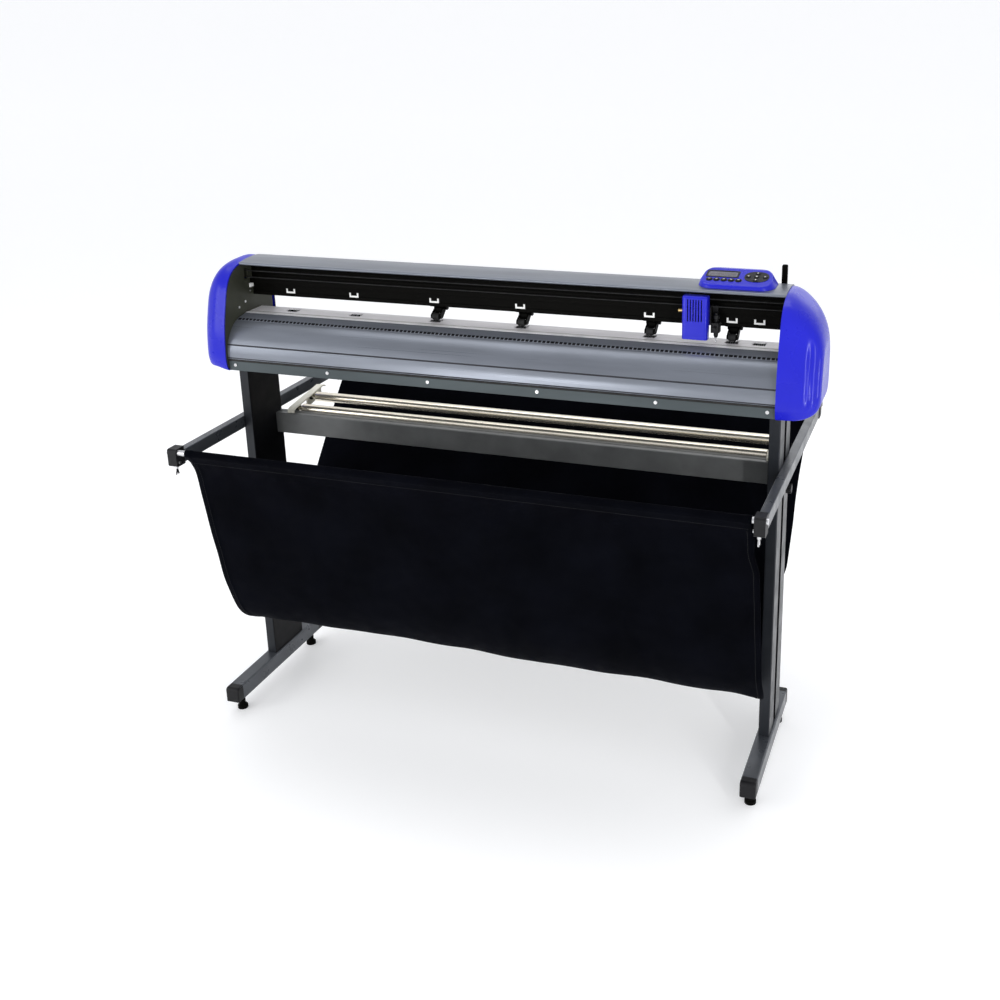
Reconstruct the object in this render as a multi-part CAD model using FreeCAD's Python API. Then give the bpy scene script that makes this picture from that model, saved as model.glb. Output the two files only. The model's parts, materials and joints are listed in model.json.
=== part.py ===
import FreeCAD, Part
import math
import os

# Floor-standing vinyl cutter, millimetres, +Z up, front towards -Y.
# Working coordinates: X = 0 midway between the columns, Y = 0 on the columns' front faces, the floor
# at FLOOR_Z. save() moves every piece so that the origin is on the floor under the middle of the
# machine's box.

V = FreeCAD.Vector
AXIS_X = V(1, 0, 0)
AXIS_Y = V(0, 1, 0)
AXIS_Z = V(0, 0, 1)

# ---- driving dimensions: stand ----
FLOOR_Z = 7.0
COLUMN_X = 650.0            # centre line of each column
COLUMN_WIDE = 25.0
COLUMN_DEEP = 135.0
COLUMN_WALL = 2.5
COLUMN_BOTTOM = 82.0
COLUMN_TOP = 870.0
COLUMN_IN = COLUMN_X - COLUMN_WIDE / 2
COLUMN_OUT = COLUMN_X + COLUMN_WIDE / 2
SLOT_MID_Y = 67.5           # slot along the outer side of each column
SLOT_MOUTH = 26.0
SLOT_INNER = 34.0
SLOT_LIP = 2.5
SLOT_DEPTH = 8.0
FOOT_WIDE = 36.0
FOOT_Y = (-189.0, 231.0)
FOOT_Z = (44.5, 82.0)
FOOT_NOSE_R = 9.0
FOOT_CAP = 24.0             # plastic cap closing each end of a foot beam
PAD_INSET = 40.0            # levelling foot to the end of its beam
PAD_R = 13.0
CROSS_Y = (105.0, 137.0)
CROSS_Z = (663.0, 716.0)
ARM_WIDE = 20.0
ARM_Y = (-256.0, 475.0)
ARM_Z = (708.0, 738.0)
ROD_R = 7.0
ROD_Z = 738.0
ROD_Y = (-268.0, 487.0)     # front and rear basket rods
ROD_HALF = 688.0
CLAMP_Y = 10.0              # clamp beyond the rod's axis
CLAMP_BACK = 22.0
CLAMP_BESIDE = 1.5          # clamp beyond each side of the arm
KNOB_Y = 50.0
KNOB_Z = 682.0
KNOB_R = 11.0
BOLT_R = 2.9

# ---- driving dimensions: basket and media rollers ----
CLOTH_X = (-641.0, 657.0)
CLOTH_NARROW = 632.0        # half width where the cloth passes between the columns
CLOTH_THICK = 2.0
CLOTH_FACETS = 56           # flat strips that stand for the cloth's curve
ROLL_R = 12.5
ROLL_FRONT = (152.0, 716.0)
ROLL_REAR = (222.0, 727.0)
ROLL_HALF = 598.0
JOURNAL_R = 6.0
BRACKET_X = (602.0, 620.0)
ROLL_SHIFT = 13.0           # the rollers and their brackets sit this far right of the middle
RUN_GAP = 0.05              # radial clearance of every turning shaft

# ---- driving dimensions: head ----
PLATE_X = 657.5             # inner face of the side plates
PLATE_THICK = 5.0
CAP_LEFT_REACH = 69.0       # dome of each end cap, outwards from its straight rim
CAP_RIGHT_REACH = 86.4
CAP_RIM = 3.5               # straight rim of the deeper right cap
CAP_LEFT_END = -PLATE_X - CAP_LEFT_REACH
CAP_RIGHT_END = PLATE_X + CAP_RIM + CAP_RIGHT_REACH
CAP_WALL = 3.0
CAP_MIDDLE = (65.0, 985.0)
FLUTE_DEEP = 3.0
PLATE_GAP = 1.8             # side plate's edge to the inside of its cap
DECK_Z = 991.0
DECK_Y = (49.0, 118.0)
BEAM_Y = (88.0, 138.0)
BEAM_Z = (1027.0, 1104.0)
RAIL_Y = 78.0
RAIL_Z = (1058.0, 1070.0)
GRIT_AXIS = (95.0, 980.0)
GRIT_R = 13.0
GRIT_LONG = 24.0
GRIT_SHAFT_R = 6.0
GRIT_X = (-552.0, -380.0, -170.0, 45.0, 350.0, 535.0, 595.0)
PINCH_X = (-170.0, 45.0, 350.0, 535.0)
PINCH_R = 8.0
PINCH_AXIS = (95.0, 1001.3)
PINCH_PIVOT = (126.0, 1019.0)
LIFT_AXIS = (150.0, 1050.0)
LIFT_R = 5.0
LEVER_X = (629.0, 641.0)
LEVER_TOP = 1156.0
BELT_Y = (60.0, 66.0)
BELT_Z = 1084.0
PULLEY_R = 7.0
PULLEY_X = (-685.0, 679.0)  # idler, drive
CARRIAGE_MOTOR = 28.0       # square frame of the carriage motor
CARRIAGE_X = (437.0, 493.0)
HOOD_TOP = 1103.0
TOOL_X = CARRIAGE_X[1] + 12  # knife axis
POD_X = (457.0, 638.0)
POD_TILT = math.atan2(20.0, 70.0)
FACE_START = (54.0, 1127.0)
BLADE_R = 1.2
KEY_PITCH = 15.8
KEY_R = 5.4
KEY_GAP = 0.4

ORIGIN = V((CAP_LEFT_END + CAP_RIGHT_END) / 2,
           (ROD_Y[0] - CLAMP_Y + ROD_Y[1] + CLAMP_Y) / 2,
           FLOOR_Z)


# ---- helpers ----
def box(x0, x1, y0, y1, z0, z1):
    return Part.makeBox(x1 - x0, y1 - y0, z1 - z0, V(x0, y0, z0))


def mid_box(x, y, z, wide, deep, high):
    return box(x - wide / 2, x + wide / 2, y - deep / 2, y + deep / 2, z - high / 2, z + high / 2)


def cyl(start, axis, length, radius):
    return Part.makeCylinder(radius, length, V(*start), axis)


def rod_x(x0, x1, place, radius):
    """Round bar along X through place = (y, z)."""
    return cyl((x0, place[0], place[1]), AXIS_X, x1 - x0, radius)


def fuse(shapes):
    whole = shapes[0]
    for shape in shapes[1:]:
        whole = whole.fuse(shape)
    return whole.removeSplitter()


def cut(shape, tools):
    for tool in tools:
        shape = shape.cut(tool)
    return shape


def group(shapes):
    return Part.makeCompound(shapes)


def mirror_x(shape):
    return shape.mirror(V(0, 0, 0), AXIS_X)


def shifted_x(shape, distance):
    moved = shape.copy()
    moved.translate(V(distance, 0, 0))
    return moved


def both_sides(shape):
    return group([mirror_x(shape), shape])


def curve_points(points, count):
    """The smooth curve through (y, z) points, sampled evenly along its parameter."""
    curve = spline_x(points, 0.0)
    step = (curve.LastParameter - curve.FirstParameter) / count
    places = [curve.value(curve.FirstParameter + n * step) for n in range(count + 1)]
    return [(place.y, place.z) for place in places]


def prism_x(points, x0, x1):
    """Corners (y, z) pulled along X."""
    corners = [V(x0, y, z) for y, z in points]
    corners.append(corners[0])
    face = Part.Face(Part.makePolygon(corners))
    return face.extrude(V(x1 - x0, 0, 0))


def spline_x(points, x):
    """Smooth open curve through (y, z) points in the plane at x."""
    curve = Part.BSplineCurve()
    curve.interpolate([V(x, y, z) for y, z in points])
    return curve


def offset_points(points, distance):
    """The same points moved to the left of the curve that runs through them."""
    curve = spline_x(points, 0.0)
    moved = []
    for y, z in points:
        tangent = curve.tangent(curve.parameter(V(0, y, z)))[0]
        moved.append((y - tangent.z * distance, z + tangent.y * distance))
    return moved


def strip_x(points, thick, x0, x1):
    """Curved sheet along X: outer face through the points, thickness to their left."""
    outer = spline_x(points, x0).toShape()
    inner_points = offset_points(points, thick)
    inner = spline_x(inner_points, x0).toShape()
    start = Part.makeLine(V(x0, *points[0]), V(x0, *inner_points[0]))
    end = Part.makeLine(V(x0, *points[-1]), V(x0, *inner_points[-1]))
    wire = Part.Wire(Part.__sortEdges__([outer, end, inner, start]))
    return Part.Face(wire).extrude(V(x1 - x0, 0, 0))


def fillet_where(shape, radius, wanted):
    """Round the edges whose middle point and direction pass the test."""
    edges = []
    for edge in shape.Edges:
        middle = edge.valueAt((edge.FirstParameter + edge.LastParameter) / 2)
        across = edge.Vertexes[-1].Point - edge.Vertexes[0].Point
        if across.Length > 0:
            across.normalize()
        if wanted(middle, across):
            edges.append(edge)
    return shape.makeFillet(radius, edges)


def along(direction, axis):
    return abs(direction.dot(axis)) > 0.99


def hexagon_z(x, y, z, flats, high):
    reach = flats / math.sqrt(3)
    corners = [V(x + reach * math.cos(math.radians(a)), y + reach * math.sin(math.radians(a)), z)
               for a in range(0, 361, 60)]
    return Part.Face(Part.makePolygon(corners)).extrude(V(0, 0, high))


# ---- stand ----
def make_columns():
    right = box(COLUMN_IN, COLUMN_OUT, 0, COLUMN_DEEP, COLUMN_BOTTOM, COLUMN_TOP)
    right = fillet_where(right, 3.0, lambda p, d: along(d, AXIS_Z))
    low = COLUMN_BOTTOM - 1
    high = COLUMN_TOP + 1
    floor_x = COLUMN_OUT - SLOT_DEPTH
    mouth = box(floor_x, COLUMN_OUT + 1, SLOT_MID_Y - SLOT_MOUTH / 2, SLOT_MID_Y + SLOT_MOUTH / 2,
                low, high)
    inner = box(floor_x, COLUMN_OUT - SLOT_LIP, SLOT_MID_Y - SLOT_INNER / 2,
                SLOT_MID_Y + SLOT_INNER / 2, low, high)
    web = 2.5
    slot_wall = floor_x - web
    front_cell = box(COLUMN_IN + COLUMN_WALL, COLUMN_OUT - COLUMN_WALL, COLUMN_WALL,
                     SLOT_MID_Y - SLOT_INNER / 2 - web, low, high)
    rear_cell = box(COLUMN_IN + COLUMN_WALL, COLUMN_OUT - COLUMN_WALL,
                    SLOT_MID_Y + SLOT_INNER / 2 + web, COLUMN_DEEP - COLUMN_WALL, low, high)
    middle_cell = box(COLUMN_IN + COLUMN_WALL, slot_wall, SLOT_MID_Y - SLOT_INNER / 2,
                      SLOT_MID_Y + SLOT_INNER / 2, low, high)
    knob_hole = rod_x(floor_x - 0.5, COLUMN_OUT, (KNOB_Y, KNOB_Z), 3 + RUN_GAP)
    bolt_holes = [rod_x(slot_wall - 1, floor_x + 1, place, BOLT_R) for place in bolt_places()]
    return both_sides(cut(right, [mouth, inner, front_cell, rear_cell, middle_cell, knob_hole] + bolt_holes))


def bolt_places():
    """(y, z) of the cap screws in each column's slot: two free ones, two into the crossbeam."""
    return ((SLOT_MID_Y - 9, 224), (SLOT_MID_Y - 9, 305), (SLOT_MID_Y + 9, 676), (SLOT_MID_Y + 9, 703))


def column_way():
    """Room for the right column's top end in the head's end wall."""
    return box(COLUMN_IN - 1, COLUMN_OUT + 0.3, -0.3, COLUMN_DEEP + 0.3, 850, COLUMN_TOP)


def make_foot_beams():
    half = FOOT_WIDE / 2
    beam = box(COLUMN_X - half, COLUMN_X + half, FOOT_Y[0], FOOT_Y[1], FOOT_Z[0], FOOT_Z[1])
    beam = fillet_where(beam, FOOT_NOSE_R, lambda p, d: along(d, AXIS_X) and p.z > FOOT_Z[1] - 1)
    beam = fillet_where(beam, 4.0, lambda p, d: not along(d, AXIS_X) and p.z > FOOT_Z[0] + 1)
    seam = 0.8
    seams = [ring_y(COLUMN_X, y, seam, FOOT_WIDE, FOOT_Z) for y in
             (FOOT_Y[0] + FOOT_CAP, FOOT_Y[1] - FOOT_CAP)]
    wall = 3.0
    hollow = box(COLUMN_X - half + wall, COLUMN_X + half - wall, FOOT_Y[0] + 20, FOOT_Y[1] - 20,
                 FOOT_Z[0] + wall, FOOT_Z[1] - wall)
    stems = [cyl((COLUMN_X, y, FOOT_Z[0] - 1), AXIS_Z, 26, 5.1) for y in pad_places()]
    return both_sides(cut(beam, [hollow] + seams + stems))


def ring_y(x, y, deep, wide, span_z):
    """Square ring round a bar along Y, reaching deep into its four faces."""
    reach = wide / 2
    outside = box(x - reach - 1, x + reach + 1, y - deep / 2, y + deep / 2, span_z[0] - 1, span_z[1] + 1)
    inside = box(x - reach + deep, x + reach - deep, y - deep, y + deep, span_z[0] + deep, span_z[1] - deep)
    return outside.cut(inside)


def pad_places():
    return (FOOT_Y[0] + PAD_INSET, FOOT_Y[1] - PAD_INSET)


def make_levelling_feet():
    feet = []
    for side in (-1, 1):
        for y in pad_places():
            x = side * COLUMN_X
            pad = cyl((x, y, FLOOR_Z), AXIS_Z, 9, PAD_R)
            pad = fillet_where(pad, 2.0, lambda p, d: p.z > FLOOR_Z + 8)
            cone = Part.makeCone(PAD_R - 2.5, 7, 6, V(x, y, FLOOR_Z + 9))
            stem = cyl((x, y, FLOOR_Z + 14), AXIS_Z, 43, 5)
            nut = hexagon_z(x, y, FOOT_Z[0] - 6.5, 15, 6.5)
            wrench_nut = hexagon_z(x, y, FLOOR_Z + 16, 15, 7)
            feet.append(fuse([pad, cone, stem, nut, wrench_nut]))
    return group(feet)


def make_crossbeam():
    beam = box(-COLUMN_IN, COLUMN_IN, CROSS_Y[0], CROSS_Y[1], CROSS_Z[0], CROSS_Z[1])
    beam = fillet_where(beam, 2.0, lambda p, d: along(d, AXIS_X))
    wall = 2.5
    hollow = box(-COLUMN_IN - 1, COLUMN_IN + 1, CROSS_Y[0] + wall, CROSS_Y[1] - wall,
                 CROSS_Z[0] + wall, CROSS_Z[1] - wall)
    middle = (CROSS_Y[0] + CROSS_Y[1]) / 2
    top_groove = box(-COLUMN_IN - 1, COLUMN_IN + 1, middle - 2, middle + 2, CROSS_Z[1] - 1.2,
                     CROSS_Z[1] + 1)
    return cut(beam, [hollow, top_groove])


def socket_bolt_x(x, y, z, length):
    """Cap screw along X: the head stands out to the right of x, the shank runs to the left."""
    head = rod_x(x, x + 5, (y, z), 5)
    key = rod_x(x + 2, x + 6, (y, z), 2.2)
    shank = rod_x(x - length, x + 1, (y, z), BOLT_R)
    return fuse([head.cut(key), shank])


def make_stand_bolts():
    floor_x = COLUMN_OUT - SLOT_DEPTH
    right = group([socket_bolt_x(floor_x, y, z, 2.4) for y, z in bolt_places()])
    foot = []
    for y in (30, 105):
        head = cyl((COLUMN_X, y, FOOT_Z[0] - 4), AXIS_Z, 4, 5)
        foot.append(head)
    return group(right.Solids + mirror_x(right).Solids + foot + [mirror_x(f) for f in foot])


def make_basket_arms():
    arm = box(COLUMN_OUT, COLUMN_OUT + ARM_WIDE, ARM_Y[0], ARM_Y[1], ARM_Z[0], ARM_Z[1])
    arm = fillet_where(arm, 1.5, lambda p, d: along(d, AXIS_Y))
    wall = 2.0
    hollow = box(COLUMN_OUT + wall, COLUMN_OUT + ARM_WIDE - wall, ARM_Y[0] - 1, ARM_Y[1] + 1,
                 ARM_Z[0] + wall, ARM_Z[1] - wall)
    bracket = box(COLUMN_OUT, COLUMN_OUT + 4, 26, 110, ARM_Z[0] - 40, ARM_Z[0])
    bracket = fillet_where(bracket, 6.0, lambda p, d: along(d, AXIS_X) and p.z < ARM_Z[0] - 30)
    hole = rod_x(COLUMN_OUT - 1, COLUMN_OUT + 5, (KNOB_Y, KNOB_Z), 3 + RUN_GAP)
    return both_sides(fuse([arm.cut(hollow), bracket]).cut(hole))


def make_arm_knob():
    """Lobed clamping knob of the right arm, turning about X."""
    seat = COLUMN_OUT + 4.2
    hub = rod_x(seat, seat + 6, (KNOB_Y, KNOB_Z), 6)
    disc = rod_x(seat + 5, seat + 17, (KNOB_Y, KNOB_Z), KNOB_R)
    disc = fillet_where(disc, 2.5, lambda p, d: p.x > seat + 16)
    flutes = []
    for n in range(6):
        angle = math.radians(60 * n + 30)
        place = (KNOB_Y + (KNOB_R + 2) * math.cos(angle), KNOB_Z + (KNOB_R + 2) * math.sin(angle))
        flutes.append(rod_x(seat, seat + 20, place, 4))
    stud = rod_x(COLUMN_OUT - SLOT_DEPTH + 0.2, seat + 1, (KNOB_Y, KNOB_Z), 3)
    return fuse([hub, cut(disc, flutes), stud])


def make_basket_rods():
    return group([rod_x(-ROD_HALF, ROD_HALF, (y, ROD_Z), ROD_R) for y in ROD_Y])


def clamp_places():
    """(rod y, direction out of the machine) for the front and the rear rod."""
    return ((ROD_Y[0], -1), (ROD_Y[1], 1))


def make_rod_clamps():
    clamps = []
    for y, way in clamp_places():
        x0 = COLUMN_OUT - CLAMP_BESIDE
        x1 = COLUMN_OUT + ARM_WIDE + CLAMP_BESIDE
        ends = sorted((y + way * CLAMP_Y, y - way * CLAMP_BACK))
        block = box(x0, x1, ends[0], ends[1], ARM_Z[0] - 2.5, ROD_Z + 10)
        block = fillet_where(block, 6.0, lambda p, d: along(d, AXIS_X) and abs(p.y - y) < CLAMP_Y + 1)
        socket_y = sorted((y - way * 12, y - way * (CLAMP_BACK + 1)))
        socket = box(COLUMN_OUT, COLUMN_OUT + ARM_WIDE, socket_y[0], socket_y[1], *ARM_Z)
        bore = rod_x(x0 - 1, ROD_HALF + 0.5, (y, ROD_Z), ROD_R + 0.1)
        clamps.append(cut(block, [socket, bore]))
    clamps = group(clamps)
    return group(clamps.Solids + mirror_x(clamps).Solids)


def make_wing_screws():
    """Silver screws of the rod clamps: a wing screw hanging below, a small head on the inner side."""
    screws = []
    x = COLUMN_OUT + ARM_WIDE / 2 - 2
    top = ARM_Z[0] - 2.5
    for y, way in clamp_places():
        hub = cyl((x, y, top - 6), AXIS_Z, 6, 4)
        wing = prism_x([(y - 7, top - 20), (y - 3, top - 5), (y + 3, top - 5), (y + 7, top - 20),
                        (y + 3, top - 21), (y, top - 15), (y - 3, top - 21)], x - 1.5, x + 1.5)
        screws.append(fuse([hub, wing]))
        inner_side = COLUMN_OUT - CLAMP_BESIDE
        screws.append(rod_x(inner_side - 3, inner_side, (y, top + 9), 3.5))
    screws = group(screws)
    return group(screws.Solids + mirror_x(screws).Solids)


def make_media_basket():
    """Hammock of cloth from the front rod, under the head, to the rear rod."""
    front = [(-262.5, 731.5), (-241, 680), (-226, 607), (-200, 481), (-168, 360), (-135, 290),
             (-88, 238), (-25, 210), (35, 216), (88, 268)]
    slope = (ROD_Z - 268) / (ROD_Y[1] - 6 - 88)
    rear = [(y, 268 + slope * (y - 88)) for y in (150, 240, 340, 430, 480)]
    outer = curve_points(front + rear, CLOTH_FACETS)
    inner = offset_points(outer, CLOTH_THICK)
    sheet = prism_x(outer + inner[::-1], *CLOTH_X)
    sleeves = []
    bores = []
    for y in ROD_Y:
        sleeves.append(rod_x(*CLOTH_X, (y, ROD_Z), ROD_R + 0.3 + CLOTH_THICK))
        bores.append(rod_x(CLOTH_X[0] - 1, CLOTH_X[1] + 1, (y, ROD_Z), ROD_R + 0.3))
    cloth = fuse([sheet] + sleeves)
    beside = box(CLOTH_NARROW, CLOTH_X[1] + 1, -8, COLUMN_DEEP + 8, 150, 420)
    return cut(cloth, bores + [beside, mirror_x(beside)])


# ---- media rollers ----
def make_roll_brackets():
    """Sloping channel on the crossbeam that carries both rollers' ends."""
    x0, x1 = BRACKET_X
    outline = [(112, 716), (112, 724), (122, 728), (262, 746), (276, 742), (276, 722), (262, 710),
               (205, 702), (140, 695), (137.2, 695), (137.2, 716)]
    plate = prism_x(outline, x1 - 4, x1)
    flange = prism_x([(112, 716), (112, 724), (122, 728), (262, 746), (276, 742), (276, 738),
                      (262, 742), (123, 724), (115, 721), (115, 716)], x0, x1)
    window = prism_x([(172, 708), (172, 726), (204, 730), (204, 712)], x0, x1 + 1)
    bores = [rod_x(x0, x1 + 1, place, JOURNAL_R + 3.5) for place in (ROLL_FRONT, ROLL_REAR)]
    return shifted_x(both_sides(cut(fuse([plate, flange]), [window] + bores)), ROLL_SHIFT)


def make_roll_bushings():
    bushes = []
    x0, x1 = BRACKET_X
    for place in (ROLL_FRONT, ROLL_REAR):
        body = fuse([rod_x(x1 - 6, x1 + 3, place, JOURNAL_R + 3.5),
                     rod_x(x1 - 8, x1 - 4, place, JOURNAL_R + 3.7)])
        bushes.append(body.cut(rod_x(x0, x1 + 4, place, JOURNAL_R + RUN_GAP)))
    bushes = group(bushes)
    return shifted_x(group(bushes.Solids + mirror_x(bushes).Solids), ROLL_SHIFT)


def make_roll_shaft(place):
    tube = rod_x(-ROLL_HALF, ROLL_HALF, place, ROLL_R)
    tube = fillet_where(tube, 1.0, lambda p, d: abs(p.x) > ROLL_HALF - 1)
    hollow = rod_x(-ROLL_HALF + 12, ROLL_HALF - 12, place, ROLL_R - 1.5)
    journal = rod_x(-BRACKET_X[1] - 2, BRACKET_X[1] + 2, place, JOURNAL_R)
    bore = rod_x(-BRACKET_X[1] + 8, BRACKET_X[1] - 8, place, JOURNAL_R - 2)
    return shifted_x(cut(fuse([tube.cut(hollow), journal]), [bore]), ROLL_SHIFT)


# ---- head: casing ----
CAP_OUTLINE = [(-50, 874), (-55, 894), (-54.5, 919), (-51.5, 951), (-44.5, 993), (-33.5, 1034),
               (-19, 1074), (2, 1099), (34, 1113), (90, 1118.5), (140, 1112), (166, 1086), (178, 1040),
               (181, 985), (178, 920), (163, 882), (118, 870.5), (62, 869.5), (0, 869.5),
               (-30, 869.8)]
END_SCALE = 0.35            # scale of the flat in the middle of each cap's end
LEFT_ANGLES = (0, 8, 18, 30, 42, 54, 65, 74, 81, 85)
RIGHT_ANGLES = (0, 12, 24, 34, 39, 43, 46, 49, 52, 54, 57, 60, 63, 66, 68.5, 71, 75, 79, 83)
FLUTES = ((64.5, 5.0), (81.5, 3.0))     # on the right cap: distance out from the side plate, half width
FLUTE_HEIGHTS = (910.0, 1060.0)         # the flutes run over this part of the front only


def flute_share(y, z):
    """Share of a flute's depth at this point of the outline."""
    return 1.0 if y < 0 and FLUTE_HEIGHTS[0] < z < FLUTE_HEIGHTS[1] else 0.0


def outline_wire(x, scale, inset, shift=(0.0, 0.0), dent=0.0):
    """The end cap's rounded outline at x, scaled about its middle, drawn in by inset and shifted."""
    my, mz = CAP_MIDDLE
    points = []
    for y, z in CAP_OUTLINE:
        reach = math.hypot(y - my, z - mz)
        factor = scale - (inset + dent * flute_share(y, z)) / reach
        points.append(V(x, my + shift[0] + (y - my) * factor, mz + shift[1] + (z - mz) * factor))
    curve = Part.BSplineCurve()
    curve.interpolate(points, PeriodicFlag=True)
    return Part.Wire([curve.toShape()])


def flute_depth(x):
    return sum(FLUTE_DEEP * math.exp(-((x - middle) / half) ** 2) for middle, half in FLUTES)


def dome_sections(rim, reach, bulge, shift, bow, angles, fluted):
    """(distance out, scale, shift, dent) of the rings of a domed cap.

    The dome is a quarter of a superellipse with the powers in bulge. Its middle moves by shift at the
    end, and by bow halfway out.
    """
    power, roundness = bulge
    sections = [(0.0, 1.0, (0.0, 0.0), 0.0)] if rim > 0 else []
    furthest = math.sin(math.radians(angles[-1])) ** (2 / power)
    for degrees in angles:
        out = math.sin(math.radians(degrees)) ** (2 / power)
        drop = abs(math.cos(math.radians(degrees))) ** (2 / roundness)
        scale = END_SCALE + (1 - END_SCALE) * drop
        move = (shift[0] * out ** 2, shift[1] * out ** 2 + bow * (4 * out * (1 - out)) ** 2)
        x = rim + reach * out / furthest
        sections.append((x, scale, move, flute_depth(x) if fluted else 0.0))
    return sections


LEFT_CAP = dome_sections(0.0, CAP_LEFT_REACH, (2.5, 3.4), (-7.1, -14.7), 6.5, LEFT_ANGLES, False)
RIGHT_CAP = dome_sections(CAP_RIM, CAP_RIGHT_REACH, (1.6, 2.4), (-36.0, -23.6), -3.2, RIGHT_ANGLES, True)


def cap_solid(sections, side, inset):
    """Domed solid of an end cap, drawn in by inset all round and at its end."""
    reach = sections[-1][0]
    shrink = (reach - inset) / reach
    return Part.makeLoft([outline_wire(side * (PLATE_X + x * shrink), scale, inset, shift, dent)
                          for x, scale, shift, dent in sections], True)


def make_end_cap(sections, side):
    way = column_way()
    if side < 0:
        way = mirror_x(way)
    return cut(cap_solid(sections, side, 0.0), [cap_solid(sections, side, CAP_WALL), way])


def make_side_plates():
    """End walls of the head, with bearing holes and the belt's window."""
    wire = outline_wire(PLATE_X, 1.0, CAP_WALL + PLATE_GAP)
    plate = Part.Face(wire).extrude(V(PLATE_THICK, 0, 0))
    rear = box(PLATE_X - 1, PLATE_X + 6, 168, 200, 850, 1150)
    rear = fillet_where(rear, 8.0, lambda p, d: along(d, AXIS_X) and p.y < 169)
    window = box(PLATE_X - 1, PLATE_X + 6, BELT_Y[0] - 4, BELT_Y[1] + 4, BELT_Z - 13, BELT_Z + 13)
    holes = [rod_x(PLATE_X - 1, PLATE_X + 6, GRIT_AXIS, GRIT_SHAFT_R + RUN_GAP),
             rod_x(PLATE_X - 1, PLATE_X + 6, LIFT_AXIS, LIFT_R + RUN_GAP)]
    plate = cut(plate, [rear, window, column_way()] + holes)
    right = plate
    left = mirror_x(plate)
    lug = mid_box(-PLATE_X - 20, BELT_Y[1] + 10, BELT_Z, 31, 6, 22)
    lug = fuse([lug, box(-PLATE_X - 8, -PLATE_X - 4, BELT_Y[1] + 7, 88, BELT_Z - 11, BELT_Z + 11)])
    axle = cyl((PULLEY_X[0], BELT_Y[1] + 5, BELT_Z), AXIS_Y, 12, 2.5 + RUN_GAP)
    return group([fuse([left, lug]).cut(axle), right])


def make_front_panel():
    """Curved aluminium apron below the deck, with its long decorative grooves."""
    outer = [(12, 984.6), (-10, 974), (-29, 955), (-41, 933), (-45, 914), (-45, 899)]
    panel = strip_x(outer, 3.0, -PLATE_X, PLATE_X)
    grooves = []
    for place, radius in (((-41.8, 933.3), 2.0), ((-23.5, 964.2), 0.9), ((-45.6, 901.5), 1.3)):
        grooves.append(rod_x(-PLATE_X - 1, PLATE_X + 1, place, radius))
    return cut(panel, grooves)


def make_base_tray():
    """Folded steel tray that closes the head underneath and bolts to the columns."""
    outline = [(-42, 896), (-42, 870), (162, 870), (162, 882), (160, 882), (160, 873), (-39.5, 873),
               (-39.5, 896)]
    return prism_x(outline, -PLATE_X, PLATE_X)


def make_platen():
    """Flat deck over which the film runs, slotted for the grit rollers."""
    outline = [(13, 981.5), (13, 985.2), DECK_Y[:1] + (DECK_Z,), (DECK_Y[1], DECK_Z),
               (DECK_Y[1], DECK_Z - 4), (DECK_Y[0] + 0.5, DECK_Z - 4)]
    deck = prism_x(outline, -PLATE_X, PLATE_X)
    slots = [mid_box(x, GRIT_AXIS[0], DECK_Z, GRIT_LONG + 4, 2 * GRIT_R + 1, 20) for x in GRIT_X]
    channel = box(-PLATE_X - 1, PLATE_X + 1, 60, 68, DECK_Z - 0.8, DECK_Z + 1)
    return cut(deck, slots + [channel])


def make_rear_panel():
    outer = [(165, 898), (165, 925), (163, 948), (154, 969), (138, 983), (119.2, DECK_Z - 0.5)]
    curve = strip_x(outer, 2.5, -PLATE_X, PLATE_X)
    flat = box(-PLATE_X, PLATE_X, 162.5, 165, 872, 898)
    panel = fuse([curve, flat])
    inlet = box(536, 606, 158, 170, 888, 916)
    return panel.cut(inlet)


def make_beam():
    beam = box(-PLATE_X, PLATE_X, BEAM_Y[0], BEAM_Y[1], BEAM_Z[0], BEAM_Z[1])
    beam = fillet_where(beam, 2.0, lambda p, d: along(d, AXIS_X))
    hollow = box(-PLATE_X - 1, PLATE_X + 1, BEAM_Y[0] + 3, BEAM_Y[1] - 3, BEAM_Z[0] + 3,
                 BEAM_Z[1] - 3)
    ribs = [box(-PLATE_X - 1, PLATE_X + 1, BEAM_Y[0] - 1, BEAM_Y[0] + 1.2, z, z + 2)
            for z in (1036, 1080, 1092)]
    return cut(beam, [hollow] + ribs)


COVER_OUTLINE = [(40, 1116), (62, 1119), (95, 1121), (125, 1120), (146, 1113), (161, 1097),
                 (168, 1066)]
COVER_BEAD = ((41.0, 1113.0), 3.5)      # rounded front edge: centre, radius


def make_top_cover():
    cover = strip_x(COVER_OUTLINE, -3.0, -PLATE_X, PLATE_X)
    bead = rod_x(-PLATE_X, PLATE_X, *COVER_BEAD)
    rest = box(-PLATE_X, PLATE_X, 100, 110, BEAM_Z[1], 1119)
    slot = box(LEVER_X[0] - 5, LEVER_X[1] + 5, 138, 200, 1040, 1150)
    pod_hole = box(540, 570, 76, 92, 1110, 1135)
    return fuse([cover, bead, rest]).cut(slot).cut(pod_hole)


def make_head_screws():
    """Pan-head screws: lower strip, side plates."""
    screws = []
    for x in (-640, -392, -135, 130, 400, 640):
        screws.append(cyl((x, -44.2, 884), AXIS_Y, 2.2, 4))
    for side in (-1, 1):
        for y, z in ((20, 1010), (48, 1018), (74, 1040)):
            screws.append(rod_x(side * (PLATE_X - 1) - 1, side * (PLATE_X - 1) + 1, (y, z), 3))
    return group(screws)


# ---- head: drives ----
def make_guide_rail():
    rail = box(-PLATE_X, PLATE_X, RAIL_Y, BEAM_Y[0], RAIL_Z[0], RAIL_Z[1])
    grooves = [rod_x(-PLATE_X - 1, PLATE_X + 1, ((RAIL_Y + BEAM_Y[0]) / 2 - 1, z), 1.5) for z in RAIL_Z]
    return cut(rail, grooves)


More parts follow.
